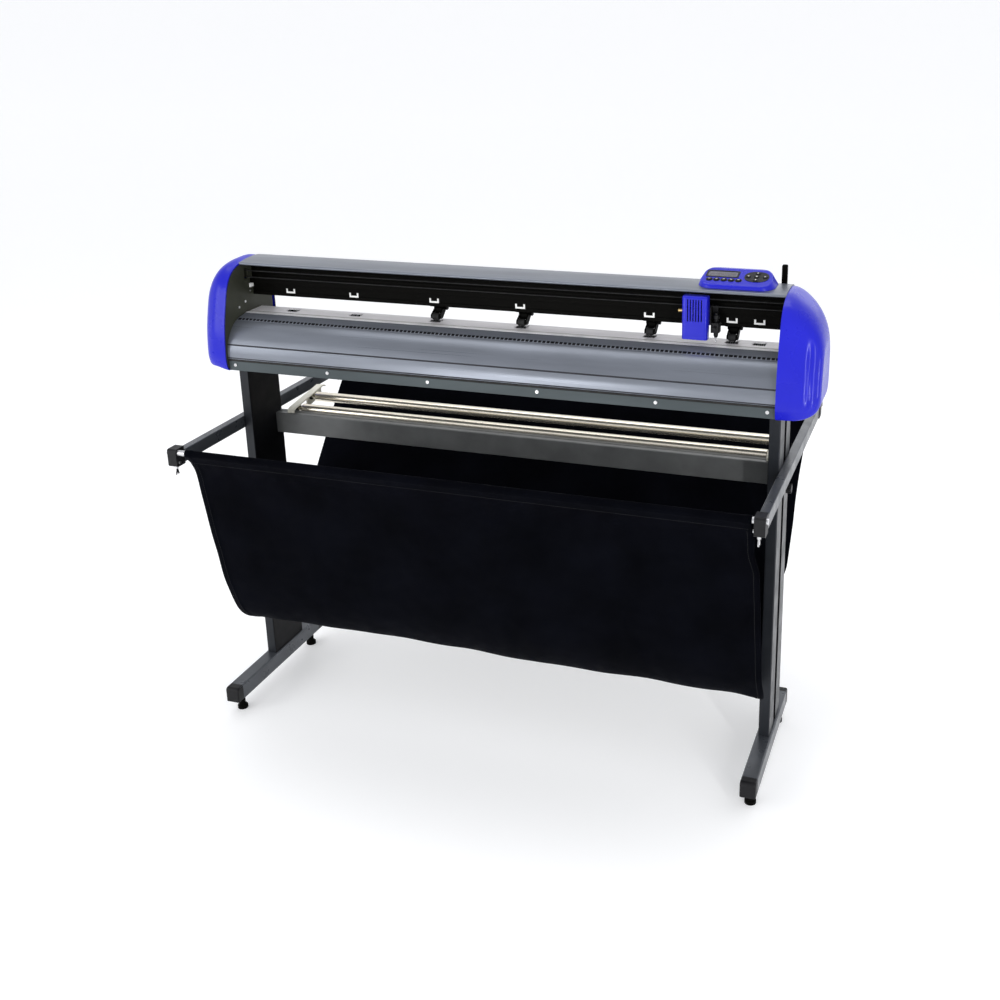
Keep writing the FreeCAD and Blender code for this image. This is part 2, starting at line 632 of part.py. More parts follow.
def belt_loop(radius):
    x0, x1 = PULLEY_X
    ends = [cyl((x, BELT_Y[0], BELT_Z), AXIS_Y, BELT_Y[1] - BELT_Y[0], radius) for x in PULLEY_X]
    middle = box(x0, x1, BELT_Y[0], BELT_Y[1], BELT_Z - radius, BELT_Z + radius)
    return fuse(ends + [middle])


def make_drive_belt():
    return belt_loop(PULLEY_R + 1.6).cut(belt_loop(PULLEY_R + 0.1))


def make_pulley(x):
    """Flanged belt pulley with its shaft, turning about Y."""
    wheel = cyl((x, BELT_Y[0] - 0.5, BELT_Z), AXIS_Y, BELT_Y[1] - BELT_Y[0] + 1, PULLEY_R)
    flanges = [cyl((x, y, BELT_Z), AXIS_Y, 1, PULLEY_R + 2.5) for y in (BELT_Y[0] - 1.5, BELT_Y[1] + 0.5)]
    shaft = cyl((x, BELT_Y[0] - 3, BELT_Z), AXIS_Y, 21, 2.5)
    return fuse([wheel, shaft] + flanges)


def make_carriage_motor():
    """Stepper motor in the right cap; its shaft carries the drive pulley."""
    x = PULLEY_X[1]
    y0 = BELT_Y[1] + 6
    half = CARRIAGE_MOTOR / 2
    body = mid_box(x, y0 + 24, BELT_Z, CARRIAGE_MOTOR, 40, CARRIAGE_MOTOR)
    body = fillet_where(body, 4.0, lambda p, d: along(d, AXIS_Y))
    pilot = cyl((x, y0, BELT_Z), AXIS_Y, 5, 9)
    bore = cyl((x, y0 - 1, BELT_Z), AXIS_Y, 10, 2.5 + RUN_GAP)
    bracket = box(PLATE_X + PLATE_THICK, x - half + 1, y0 + 8, y0 + 12, BELT_Z - 10, BELT_Z + 10)
    return fuse([body, pilot, bracket]).cut(bore)


def make_feed_motor():
    """Stepper motor in the right cap, coupled straight to the grit shaft."""
    y, z = GRIT_AXIS
    body = mid_box(PLATE_X + 46, y, z, 40, 52, 52)
    body = fillet_where(body, 5.0, lambda p, d: along(d, AXIS_X))
    pilot = rod_x(PLATE_X + 24, PLATE_X + 28, GRIT_AXIS, 19)
    feet = [rod_x(PLATE_X + PLATE_THICK, PLATE_X + 28, (y + dy, z + dz), 4)
            for dy in (-22, 22) for dz in (-22, 22)]
    bore = rod_x(PLATE_X, PLATE_X + 38, GRIT_AXIS, GRIT_SHAFT_R + RUN_GAP)
    return fuse([body, pilot] + feet).cut(bore)


def make_grit_shaft():
    """Feed shaft with its seven knurled rollers."""
    shaft = rod_x(-PLATE_X - 8, PLATE_X + 36, GRIT_AXIS, GRIT_SHAFT_R)
    rollers = []
    for x in GRIT_X:
        roller = rod_x(x - GRIT_LONG / 2, x + GRIT_LONG / 2, GRIT_AXIS, GRIT_R)
        rings = [rod_x(x + dx, x + dx + 0.8, GRIT_AXIS, GRIT_R + 1).cut(
                     rod_x(x + dx, x + dx + 0.8, GRIT_AXIS, GRIT_R - 0.4)) for dx in (-8, -3, 2, 7)]
        rollers.append(cut(roller, rings))
    return fuse([shaft] + rollers)


def make_pinch_brackets():
    """Two-cheek hangers under the beam, one for each pinch roller arm."""
    hangers = []
    y, z = PINCH_PIVOT
    for x in PINCH_X:
        top = mid_box(x, 116, BEAM_Z[0] - 1.5, 32, 36, 3)
        cheeks = []
        for side in (-1, 1):
            cheek = mid_box(x + side * 14.5, y, z, 3, 14, 16)
            cheek = fillet_where(cheek, 5.0, lambda p, d: along(d, AXIS_X) and p.z < z)
            cheeks.append(cheek)
        hangers.append(fuse([top] + cheeks).cut(rod_x(x - 20, x + 20, PINCH_PIVOT, 2.5 + RUN_GAP)))
    return group(hangers)


def make_pinch_arms():
    """Forked arms with their pivot and roller pins; all four rise together."""
    arms = []
    for x in PINCH_X:
        py, pz = PINCH_PIVOT
        ry, rz = PINCH_AXIS
        web = prism_x([(108, 1006), (109, 1019), (py - 2, pz + 4), (py + 11, pz + 4), (py + 16, 1037.5),
                       (py + 32, 1037.5), (py + 32, 1034), (py + 20, 1033), (py + 16, pz - 1),
                       (py - 2, pz - 5)], x - 8, x + 8)
        cheeks = []
        for side in (-1, 1):
            x0 = x + side * 10.5
            cheek = prism_x([(ry - 5, rz - 4), (ry - 5, rz + 4), (ry + 2, rz + 8), (py - 4, pz + 3.8),
                             (py + 4, pz + 2), (py + 4, pz - 4), (ry + 12, rz - 5.5),
                             (ry + 4, rz - 5.5)], x0 - 1.5, x0 + 1.5)
            cheeks.append(cheek)
        tie = prism_x([(109, 1008), (109, 1017), (122, 1021), (122, 1013)], x - 11, x + 11)
        pivot = rod_x(x - 17, x + 17, PINCH_PIVOT, 2.5)
        pin = rod_x(x - 13, x + 13, PINCH_AXIS, 2)
        arms.append(fuse([web, tie, pivot, pin] + cheeks))
    return group(arms)


def make_pinch_roller(x):
    """Rubber-tyred roller that presses the film onto a grit roller."""
    tyre = rod_x(x - 8, x + 8, PINCH_AXIS, PINCH_R)
    tyre = fillet_where(tyre, 1.0, lambda p, d: abs(p.x - x) > 7.5)
    return tyre.cut(rod_x(x - 9, x + 9, PINCH_AXIS, 2 + RUN_GAP))


def make_lift_lever():
    """Cross shaft with four cams and the flat lever that turns it."""
    y, z = LIFT_AXIS
    shaft = rod_x(-PLATE_X - 4, PLATE_X + 4, LIFT_AXIS, LIFT_R)
    hub = rod_x(LEVER_X[0], LEVER_X[1], LIFT_AXIS, 10)
    blade = box(LEVER_X[0], LEVER_X[1], y - 4, y + 4, z, LEVER_TOP)
    blade = fillet_where(blade, 3.0, lambda p, d: along(d, AXIS_Y) and p.z > LEVER_TOP - 1)
    cams = [rod_x(x - 6, x + 6, (y + 4.9, z - 3.4), 8) for x in PINCH_X]
    return fuse([shaft, hub, blade] + cams)


# ---- head: tool carriage ----
def make_carriage_block():
    x0, x1 = CARRIAGE_X
    run_low = BELT_Z - PULLEY_R - 1.6
    run_high = BELT_Z - PULLEY_R - 0.1
    top = run_low - 2
    block = box(x0 + 5, x1 - 5, 46, 86, 1044, top)
    groove = box(x0, x1, RAIL_Y - 0.5, 90, RAIL_Z[0] - 0.5, RAIL_Z[1] + 0.5)
    holder = box(x1 - 6, x1, 52, 76, 1046, top)
    guide = box(x1 - 1, x1 + 3, 60, 70, 1048, top)
    clip = box(x0 + 18, x1 - 18, BELT_Y[0] - 2, RAIL_Y - 2, top - 1, run_high + 4)
    clip = clip.cut(box(x0, x1, BELT_Y[0] - 3, BELT_Y[1] + 1, run_low - 0.3, run_high + 0.3))
    brass = rod_x(x0 - 14, x0 + 6, (60, 1064), 4)
    return fuse([block.cut(groove), holder, guide, clip, brass])


def make_carriage_cover():
    """Hood with six slots, open at the back, over the tool drive."""
    x0, x1 = CARRIAGE_X
    top = HOOD_TOP
    hood = box(x0, x1, 30, 76, 1008, top)
    hood = fillet_where(hood, 6.0, lambda p, d: along(d, AXIS_Z) and p.y < 40)
    hood = fillet_where(hood, 4.5, lambda p, d: p.z > top - 1 and p.y < 70)
    hollow = box(x0 + 2.2, x1 - 2.2, 32.2, 80, 1010, top - 2.5)
    belt_way = box(x0 - 1, x1 + 1, 51.5, 80, 1040, top + 5)
    foot = box(x0 - 1, x1 + 1, 50, 80, 1000, 1036)
    slots = [mid_box((x0 + x1) / 2 + 6 * n - 15, 31, top - 31, 2.4, 8, 48) for n in range(6)]
    posts = [box(x, x + 5, 31, 46, 1056, 1068) for x in (x0 + 5, x1 - 10)]
    return fuse([cut(hood, [hollow, belt_way, foot] + slots)] + posts)


def make_tool_holder():
    """Lifting clamp at the carriage's right side, with the blade cartridge in it."""
    x = TOOL_X
    plate = box(x - 11.5, x - 8.5, 50, 76, 1040, 1078)
    way = box(x - 14, x - 8.3, 59.6, 70.4, 1030, 1090)
    clamp = mid_box(x, 64, 1031, 18, 24, 22)
    clamp = fillet_where(clamp, 5.0, lambda p, d: along(d, AXIS_Z) and p.x > x)
    riser = box(x - 11.5, x + 2, 71.5, 76, 1022, 1076)
    cartridge = fuse([cyl((x, 64, 1012), AXIS_Z, 50, 5), cyl((x, 64, 1050), AXIS_Z, 8, 8)])
    nose = Part.makeCone(3.0, 5, 5, V(x, 64, 1007))
    thumb = cyl((x, 42, 1031), AXIS_Y, 11, 4)
    body = fuse([plate.cut(way), clamp, riser, cartridge, nose, thumb])
    return body.cut(cyl((x, 64, 1000), AXIS_Z, 40, BLADE_R + RUN_GAP))


def make_blade():
    """Swivelling knife spindle with its offset point."""
    spindle = cyl((TOOL_X, 64, 998), AXIS_Z, 36, BLADE_R)
    tip = Part.makeCone(0.3, BLADE_R, 3.0, V(TOOL_X, 64, 995))
    return fuse([spindle, tip])


# ---- control pod ----
def face_point(x, reach, height):
    """Point on the pod's tilted face: reach up the slope from its front edge, height above it."""
    y0, z0 = FACE_START
    y = y0 + reach * math.cos(POD_TILT) - height * math.sin(POD_TILT)
    z = z0 + reach * math.sin(POD_TILT) + height * math.cos(POD_TILT)
    return V(x, y, z)


def face_normal():
    return V(0, -math.sin(POD_TILT), math.cos(POD_TILT))


def key_places():
    """Name, x and reach of every key: one row under the display, one cluster at its right."""
    places = [("soft_key_%d" % (n + 1), 486.0 + KEY_PITCH * n, 21.0) for n in range(5)]
    cluster = (("enter_key", 0, 0), ("left_key", -18, 0), ("right_key", 18, 0), ("up_key", 0, 15),
               ("down_key", 0, -15))
    return places + [(name, 585.0 + dx, 40.0 + dr) for name, dx, dr in cluster]


def make_key(x, reach):
    base = face_point(x, reach, -4.0)
    key = Part.makeCylinder(KEY_R, 6.5, base, face_normal())
    top = face_point(x, reach, 2.5)
    return fillet_where(key, 1.6, lambda p, d: (p - top).dot(face_normal()) > -0.1)


def cover_volume():
    """Everything under the top cover's outer face."""
    outer = spline_x(COVER_OUTLINE, POD_X[0] - 10).toShape()
    start = V(POD_X[0] - 10, *COVER_OUTLINE[0])
    end = V(POD_X[0] - 10, *COVER_OUTLINE[-1])
    low_start = V(POD_X[0] - 10, COVER_OUTLINE[0][0], 1060)
    low_end = V(POD_X[0] - 10, COVER_OUTLINE[-1][0], 1060)
    lines = [Part.makeLine(end, low_end), Part.makeLine(low_end, low_start),
             Part.makeLine(low_start, start)]
    wire = Part.Wire(Part.__sortEdges__([outer] + lines))
    return Part.Face(wire).extrude(V(POD_X[1] - POD_X[0] + 20, 0, 0))


def rounded_plan(x0, x1, y0, y1, z, radius):
    """Rounded rectangle in the plane at z."""
    plate = box(x0, x1, y0, y1, z, z + 1)
    plate = fillet_where(plate, radius, lambda p, d: along(d, AXIS_Z))
    bottom = [face for face in plate.Faces if abs(face.CenterOfMass.z - z) < 0.01]
    return bottom[0].OuterWire


def on_pod_top(point, direction):
    """Edges around the pod's tilted face and the flat behind it."""
    height = (point - face_point(point.x, 0, 0)).dot(face_normal())
    return abs(height) < 0.05 or point.z > 1146.9


def make_control_pod():
    """Wedge-shaped operating panel on the top cover."""
    low, high = 1106.0, 1150.0
    body = Part.makeLoft([rounded_plan(POD_X[0], POD_X[1], 49, 140, low, 34),
                          rounded_plan(POD_X[0] + 15, POD_X[1] - 27, 52, 137, high, 30)], True)
    wedge = prism_x([(40, low), (40, 1123), FACE_START, (124, 1147), (150, 1147), (150, low)],
                    POD_X[0] - 1, POD_X[1] + 1)
    body = body.common(wedge)
    body = fillet_where(body, 6.0, on_pod_top)
    body = body.cut(cover_volume())
    hollow = prism_x([(60, 1106), (60, 1124.6), (122, 1142.3), (130, 1138), (130, 1106)],
                     POD_X[0] + 17, POD_X[1] - 27)
    hollow = hollow.cut(cover_volume())
    holes = [Part.makeCylinder(KEY_R + KEY_GAP, 30, face_point(x, reach, -12), face_normal())
             for name, x, reach in key_places()]
    return cut(body, [hollow, window_block(1.5, 1.0)] + holes)


def window_block(depth, proud):
    """Flat block over the display opening, from depth below the face to proud above it."""
    block = box(0, 66, 0, 25, -depth, proud)
    block.rotate(V(0, 0, 0), AXIS_X, math.degrees(POD_TILT))
    block.translate(face_point(478.0, 34.0, 0))
    return block


# ---- electrics ----
def make_main_board():
    board = box(300, 460, 10, 110, 886, 888)
    posts = [cyl((x, y, 873), AXIS_Z, 13, 4) for x in (308, 452) for y in (18, 102)]
    chips = [box(330, 360, 40, 70, 888, 891), box(380, 410, 30, 46, 888, 902),
             box(420, 446, 60, 90, 888, 910), box(320, 340, 84, 100, 888, 898)]
    return fuse([board] + posts + chips)


def make_power_supply():
    case = box(60, 220, 10, 108, 873, 913)
    hollow = box(62, 218, 12, 106, 875, 911)
    core = box(90, 150, 40, 80, 875, 900)
    return group([case.cut(hollow).fuse(core)])


ROCKER = (592.0, 165.5, 902.0)


def make_power_inlet():
    """Mains inlet with the rocker switch's frame beside it."""
    body = box(536, 606, 140, 165, 888, 916)
    flange = box(532, 610, 165, 167.5, 884, 920)
    body = fuse([body, flange])
    socket = box(541, 569, 148, 169, 892, 912)
    socket = fillet_where(socket, 5.0, lambda p, d: along(d, AXIS_Y) and p.z > 911)
    pins = [box(x, x + 2, 146, 163, 898, 904) for x in (547, 554, 561)]
    pocket = box(581, 603, 152, 169, 890, 914)
    axle = rod_x(579.5, 604.5, ROCKER[1:], 1.5 + RUN_GAP)
    return fuse([cut(body, [socket, pocket, axle])] + pins)


def make_power_rocker():
    """Rocker of the mains switch, resting with its lower half pressed in."""
    x, y, z = ROCKER
    key = prism_x([(y - 8, z - 7), (y + 1, z - 10.5), (y + 3.2, z - 10.5), (y + 1.2, z),
                   (y + 3.2, z + 10.5), (y + 1, z + 10.5), (y - 8, z + 7)], x - 10.5, x + 10.5)
    axle = rod_x(x - 12, x + 12, (y, z), 1.5)
    rocker = fuse([key, axle])
    rocker.rotate(V(x, y, z), AXIS_X, -7)
    return rocker


# ---- assembly ----
def save(name, shape):
    shape = shape.copy()
    shape.translate(-ORIGIN)
    bad = [n for n, solid in enumerate(shape.Solids) if not solid.isValid() or solid.Volume <= 0]
    if bad or not shape.Solids:
        print("not valid:", name, bad)
    shape.exportStep("parts/" + name + ".step")
    return shape.BoundBox


def all_pieces():
    pieces = {
        "columns": make_columns(),
        "foot_beams": make_foot_beams(),
        "levelling_feet": make_levelling_feet(),
        "crossbeam": make_crossbeam(),
        "stand_bolts": make_stand_bolts(),
        "basket_arms": make_basket_arms(),
        "arm_knob_right": make_arm_knob(),
        "arm_knob_left": mirror_x(make_arm_knob()),
        "basket_rods": make_basket_rods(),
        "rod_clamps": make_rod_clamps(),
        "wing_screws": make_wing_screws(),
        "media_basket": make_media_basket(),
        "roll_brackets": make_roll_brackets(),
        "roll_bushings": make_roll_bushings(),
        "roll_shaft_front": make_roll_shaft(ROLL_FRONT),
        "roll_shaft_rear": make_roll_shaft(ROLL_REAR),
        "side_plates": make_side_plates(),
        "end_cap_left": make_end_cap(LEFT_CAP, -1),
        "end_cap_right": make_end_cap(RIGHT_CAP, 1),
        "front_panel": make_front_panel(),
        "base_tray": make_base_tray(),
        "platen": make_platen(),
        "rear_panel": make_rear_panel(),
        "beam": make_beam(),
        "top_cover": make_top_cover(),
        "head_screws": make_head_screws(),
        "guide_rail": make_guide_rail(),
        "drive_belt": make_drive_belt(),
        "idler_pulley": make_pulley(PULLEY_X[0]),
        "drive_pulley": make_pulley(PULLEY_X[1]),
        "carriage_motor": make_carriage_motor(),
        "feed_motor": make_feed_motor(),
        "grit_shaft": make_grit_shaft(),
        "pinch_brackets": make_pinch_brackets(),
        "pinch_arms": make_pinch_arms(),
        "lift_lever": make_lift_lever(),
        "carriage_block": make_carriage_block(),
        "carriage_cover": make_carriage_cover(),
        "tool_holder": make_tool_holder(),
        "blade": make_blade(),
        "control_pod": make_control_pod(),
        "display_window": window_block(1.5, 0.0),
        "main_board": make_main_board(),
        "power_supply": make_power_supply(),
        "power_inlet": make_power_inlet(),
        "power_rocker": make_power_rocker(),
    }
    for n, x in enumerate(PINCH_X):
        pieces["pinch_roller_%d" % (n + 1)] = make_pinch_roller(x)
    for name, x, reach in key_places():
        pieces[name] = make_key(x, reach)
    return pieces


os.makedirs("parts", exist_ok=True)
whole = FreeCAD.BoundBox()
for piece_name, piece in all_pieces().items():
    whole.add(save(piece_name, piece))
print("pieces' box:", whole)
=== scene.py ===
import json
import math

import bpy
from mathutils import Matrix, Vector, noise
from mathutils.geometry import tessellate_polygon


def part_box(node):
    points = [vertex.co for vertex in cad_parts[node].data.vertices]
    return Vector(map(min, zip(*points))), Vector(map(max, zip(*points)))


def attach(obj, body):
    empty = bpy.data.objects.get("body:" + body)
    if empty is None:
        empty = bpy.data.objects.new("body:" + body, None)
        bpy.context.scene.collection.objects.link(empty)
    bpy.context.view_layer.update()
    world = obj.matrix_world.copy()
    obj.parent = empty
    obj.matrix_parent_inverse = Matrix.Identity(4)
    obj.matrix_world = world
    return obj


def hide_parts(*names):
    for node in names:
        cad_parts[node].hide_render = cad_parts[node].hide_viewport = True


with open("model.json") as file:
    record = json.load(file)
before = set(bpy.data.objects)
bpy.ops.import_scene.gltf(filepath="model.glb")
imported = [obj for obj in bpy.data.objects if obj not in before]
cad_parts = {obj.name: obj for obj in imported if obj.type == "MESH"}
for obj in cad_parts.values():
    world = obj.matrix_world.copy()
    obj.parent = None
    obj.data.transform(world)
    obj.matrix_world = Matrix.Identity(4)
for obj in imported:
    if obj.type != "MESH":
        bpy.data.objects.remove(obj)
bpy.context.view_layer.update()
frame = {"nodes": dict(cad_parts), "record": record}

# Looks of a floor-standing vinyl cutter. Places given in millimetres are counted from midway between
# the columns (x), from the columns' front faces (y) and from a level COLUMN_BOTTOM below the
# columns (z), which are the design's own working coordinates.

MM = 0.001
COLUMN_BOTTOM = 82
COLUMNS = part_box("columns")
DATUM = Vector(((COLUMNS[0].x + COLUMNS[1].x) / 2, COLUMNS[0].y, COLUMNS[0].z - COLUMN_BOTTOM * MM))


def at(x, y, z):
    return DATUM + Vector((x, y, z)) * MM


# ---- camera, floor and light ----
CAMERA_PLACE = at(1051.2, -2479.3, 1720.5)
CAMERA_TURN = math.radians(19.07)       # to the left of straight ahead
CAMERA_DIP = math.radians(18.13)
CAMERA_ROLL = math.radians(-0.978)
CAMERA_LENS = 44.65
CAMERA_SHIFT = (-0.0709, -0.1018)


def make_camera():
    data = bpy.data.cameras.new("camera")
    data.lens = CAMERA_LENS
    data.shift_x, data.shift_y = CAMERA_SHIFT
    data.clip_end = 400
    camera = bpy.data.objects.new("camera", data)
    ahead = Vector((-math.sin(CAMERA_TURN) * math.cos(CAMERA_DIP),
                    math.cos(CAMERA_TURN) * math.cos(CAMERA_DIP),
                    -math.sin(CAMERA_DIP)))
    right = ahead.cross(Vector((0, 0, 1))).normalized()
    up = right.cross(ahead)
    side = right * math.cos(CAMERA_ROLL) + up * math.sin(CAMERA_ROLL)
    top = up * math.cos(CAMERA_ROLL) - right * math.sin(CAMERA_ROLL)
    turn = Matrix((side, top, -ahead)).transposed()
    camera.matrix_world = Matrix.Translation(CAMERA_PLACE) @ turn.to_4x4()
    bpy.context.scene.collection.objects.link(camera)
    bpy.context.scene.camera = camera


def area_light(name, place, target, size, watts):
    data = bpy.data.lights.new(name, "AREA")
    data.shape = "RECTANGLE"
    data.size, data.size_y = size
    data.energy = watts
    light = bpy.data.objects.new(name, data)
    light.location = place
    light.rotation_mode = "QUATERNION"
    light.rotation_quaternion = (Vector(target) - Vector(place)).to_track_quat("-Z", "Y")
    light.visible_camera = False
    bpy.context.scene.collection.objects.link(light)


def make_lights():
    world = bpy.data.worlds.new("studio")
    world.use_nodes = True
    background = world.node_tree.nodes["Background"]
    background.inputs["Color"].default_value = (0.95, 0.965, 1.0, 1)
    background.inputs["Strength"].default_value = 0.80
    bpy.context.scene.world = world
    bpy.context.scene.view_settings.view_transform = "Standard"
    head = (0, 0, 0.9)
    right_cap = (0.7, 0, 0.98)
    area_light("overhead", (-0.2, 0.5, 3.4), head, (3.0, 1.4), 26)
    area_light("front_left", (-2.6, -2.7, 1.7), head, (1.2, 1.8), 24)
    area_light("low_front", (-1.05, -3.3, 0.42), (-0.3, 0, 0.92), (0.7, 0.50), 20)
    area_light("right_strip", (2.3, -2.5, 1.15), right_cap, (0.10, 2.0), 34)
    area_light("side_strip", (3.5, -1.3, 1.2), right_cap, (0.30, 2.2), 2.5)
    area_light("left_strip", (-3.3, -1.0, 1.4), (-0.7, 0, 0.98), (1.0, 2.0), 4)
    area_light("rear_fill", (0.8, 3.6, 2.2), head, (2.4, 1.4), 8)


FLOOR_HALF = 150.0
SWEEP_START = 14.0          # the floor turns up into a backdrop behind the machine
SWEEP_R = 30.0
SWEEP_STEPS = 48


def make_floor():
    """Pale floor that runs up into a seamless backdrop."""
    line = [(-FLOOR_HALF, 0.0)]
    for n in range(SWEEP_STEPS + 1):
        angle = math.pi / 2 * n / SWEEP_STEPS
        line.append((SWEEP_START + SWEEP_R * math.sin(angle), SWEEP_R * (1 - math.cos(angle))))
    line.append((SWEEP_START + SWEEP_R, FLOOR_HALF))
    points = [(x, y, z) for y, z in line for x in (-FLOOR_HALF, FLOOR_HALF)]
    faces = [(2 * n, 2 * n + 1, 2 * n + 3, 2 * n + 2) for n in range(len(line) - 1)]
    mesh = bpy.data.meshes.new("floor")
    mesh.from_pydata(points, [], faces)
    for face in mesh.polygons:
        face.use_smooth = True
    floor = bpy.data.objects.new("floor", mesh)
    bpy.context.scene.collection.objects.link(floor)
    finish = Finish("floor_paint", {"Base Color": (0.95, 0.95, 0.95, 1), "Specular IOR Level": 0.1,
                                    "Emission Color": (1, 1, 1, 1), "Emission Strength": 0.18})
    finish.gloss(finish.noise(3.0), 0.75, 0.85)
    mesh.materials.append(finish.material)


# ---- materials ----
class Finish:
    """A Principled material whose colour, gloss and relief vary with procedural textures."""

    def __init__(self, name, constants):
        self.material = bpy.data.materials.new(name)
        self.material.use_nodes = True
        self.tree = self.material.node_tree
        self.shader = self.tree.nodes["Principled BSDF"]
        for socket, value in constants.items():
            self.shader.inputs[socket].default_value = value
        self.tint = None
        self.bumped = None

    def node(self, kind, settings=None, values=None):
        made = self.tree.nodes.new(kind)
        for key, value in (settings or {}).items():
            setattr(made, key, value)
        for key, value in (values or {}).items():
            made.inputs[key].default_value = value
        return made

    def join(self, output, target):
        self.tree.links.new(output, target)

    def place(self, stretch, uv):
        where = self.node("ShaderNodeTexCoord")
        mapping = self.node("ShaderNodeMapping", values={"Scale": stretch})
        self.join(where.outputs["UV" if uv else "Object"], mapping.inputs["Vector"])
        return mapping.outputs["Vector"]

    def noise(self, scale, stretch=(1, 1, 1), detail=3.0, uv=False):
        made = self.node("ShaderNodeTexNoise", values={"Scale": scale, "Detail": detail})
        self.join(self.place(stretch, uv), made.inputs["Vector"])
        return made.outputs["Fac"]

    def cells(self, scale, feature="F1"):
        made = self.node("ShaderNodeTexVoronoi", {"feature": feature}, {"Scale": scale})
        self.join(self.place((1, 1, 1), False), made.inputs["Vector"])
        return made.outputs["Distance"]

    def bands(self, scale, direction):
        """Even bands across the sheet's flat coordinates."""
        made = self.node("ShaderNodeTexWave", {"bands_direction": direction}, {"Scale": scale})
        self.join(self.place((1, 1, 1), True), made.inputs["Vector"])
        return made.outputs["Fac"]

    def remap(self, value, source, result):
        made = self.node("ShaderNodeMapRange", values={
            "From Min": source[0], "From Max": source[1], "To Min": result[0], "To Max": result[1]})
        self.join(value, made.inputs["Value"])
        return made.outputs["Result"]

    def math(self, operation, first, second):
        made = self.node("ShaderNodeMath", {"operation": operation})
        self.join(first, made.inputs[0])
        self.join(second, made.inputs[1])
        return made.outputs[0]

    def colour(self, value, low, high, span=(0.35, 0.65)):
        """Base colour from low to high as value crosses span."""
        ramp = self.node("ShaderNodeValToRGB")
        for stop, place, shade in zip(ramp.color_ramp.elements, span, (low, high)):
            stop.position = place
            stop.color = (*shade, 1)
        self.join(value, ramp.inputs["Fac"])
        self.tint = ramp.outputs["Color"]
        self.join(self.tint, self.shader.inputs["Base Color"])

    def overlay(self, mask, shade):
        """shade over the base colour where mask is 1."""
        mix = self.node("ShaderNodeMix", {"data_type": "RGBA"})
        self.join(mask, mix.inputs[0])
        self.join(self.tint, mix.inputs[6])
        mix.inputs[7].default_value = (*shade, 1)
        self.tint = mix.outputs[2]
        self.join(self.tint, self.shader.inputs["Base Color"])

    def gloss(self, value, low, high):
        self.join(self.remap(value, (0.3, 0.7), (low, high)), self.shader.inputs["Roughness"])

    def relief(self, height, strength, depth):
        bump = self.node("ShaderNodeBump", values={"Strength": strength, "Distance": depth})
        self.join(height, bump.inputs["Height"])
        if self.bumped is not None:
            self.join(self.bumped, bump.inputs["Normal"])
        self.bumped = bump.outputs["Normal"]
        self.join(self.bumped, self.shader.inputs["Normal"])

    def soft_edges(self, radius):
        """Edges catch the light as if rounded to radius."""
        bevel = self.node("ShaderNodeBevel", {"samples": 4}, {"Radius": radius})
        self.bumped = bevel.outputs["Normal"]
        self.join(self.bumped, self.shader.inputs["Normal"])

    def worn_edges(self, radius, shade, amount):
        """shade shows through along sharp edges, in patches."""
        bevel = self.node("ShaderNodeBevel", {"samples": 4}, {"Radius": radius})
        here = self.node("ShaderNodeNewGeometry")
        dot = self.node("ShaderNodeVectorMath", {"operation": "DOT_PRODUCT"})
        self.join(bevel.outputs["Normal"], dot.inputs[0])
        self.join(here.outputs["Normal"], dot.inputs[1])
        edge = self.remap(dot.outputs["Value"], (0.97, 0.80), (0.0, amount))
        patches = self.remap(self.noise(60.0), (0.45, 0.62), (0.0, 1.0))
        self.overlay(self.math("MULTIPLY", edge, patches), shade)


def scaled(colour, factor):
    return tuple(part * factor for part in colour)


def gloss_plastic(name, colour):
    finish = Finish(name, {"Coat Weight": 0.09, "Coat Roughness": 0.08, "Specular IOR Level": 0.22})
    finish.soft_edges(0.0015)
    finish.colour(finish.noise(5.0), scaled(colour, 0.93), scaled(colour, 1.07))
    finish.gloss(finish.noise(9.0, detail=5.0), 0.24, 0.32)
    finish.relief(finish.noise(420.0, detail=1.0), 0.06, 0.0003)
    return finish.material


def matte_plastic(name, colour, roughness=0.5, shine=0.5):
    finish = Finish(name, {"Specular IOR Level": shine})
    finish.soft_edges(0.0008)
    finish.colour(finish.noise(22.0), scaled(colour, 0.85), scaled(colour, 1.2))
    finish.gloss(finish.noise(40.0), roughness - 0.06, roughness + 0.08)
    finish.relief(finish.cells(1500.0), 0.25, 0.0002)
    return finish.material


def brushed_paint(name, colour, roughness, metallic, shine=0.5):
    """Metallic paint or anodising over an extrusion, with drawing lines along its length."""
    finish = Finish(name, {"Metallic": metallic, "Specular IOR Level": shine})
    finish.soft_edges(0.0010)
    lines = finish.noise(1.0, stretch=(1.5, 700, 700), detail=4.0)
    finish.colour(finish.noise(4.0, stretch=(1, 6, 6)), scaled(colour, 0.90), scaled(colour, 1.10))
    finish.gloss(lines, roughness - 0.05, roughness + 0.07)
    finish.relief(lines, 0.05, 0.0002)
    return finish.material


def powder_coat(name, colour, roughness, metallic, wear, shine=0.5):
    finish = Finish(name, {"Metallic": metallic, "Specular IOR Level": shine})
    finish.soft_edges(0.0012)
    finish.colour(finish.noise(14.0, detail=5.0), scaled(colour, 0.88), scaled(colour, 1.12))
    finish.gloss(finish.noise(30.0), roughness - 0.05, roughness + 0.08)
    finish.relief(finish.cells(900.0), 0.18, 0.0003)
    finish.worn_edges(0.0015, scaled(colour, 3.0), wear)
    return finish.material


def turned_metal(name, colour, roughness):
    """Bare metal with fine turning marks round the X axis."""
    finish = Finish(name, {"Metallic": 1.0})
    finish.soft_edges(0.0006)
    marks = finish.noise(1.0, stretch=(900, 12, 12), detail=3.0)
    finish.colour(finish.noise(18.0, detail=4.0), scaled(colour, 0.86), colour)
    finish.gloss(marks, roughness - 0.05, roughness + 0.10)
    finish.relief(marks, 0.06, 0.0002)
    return finish.material


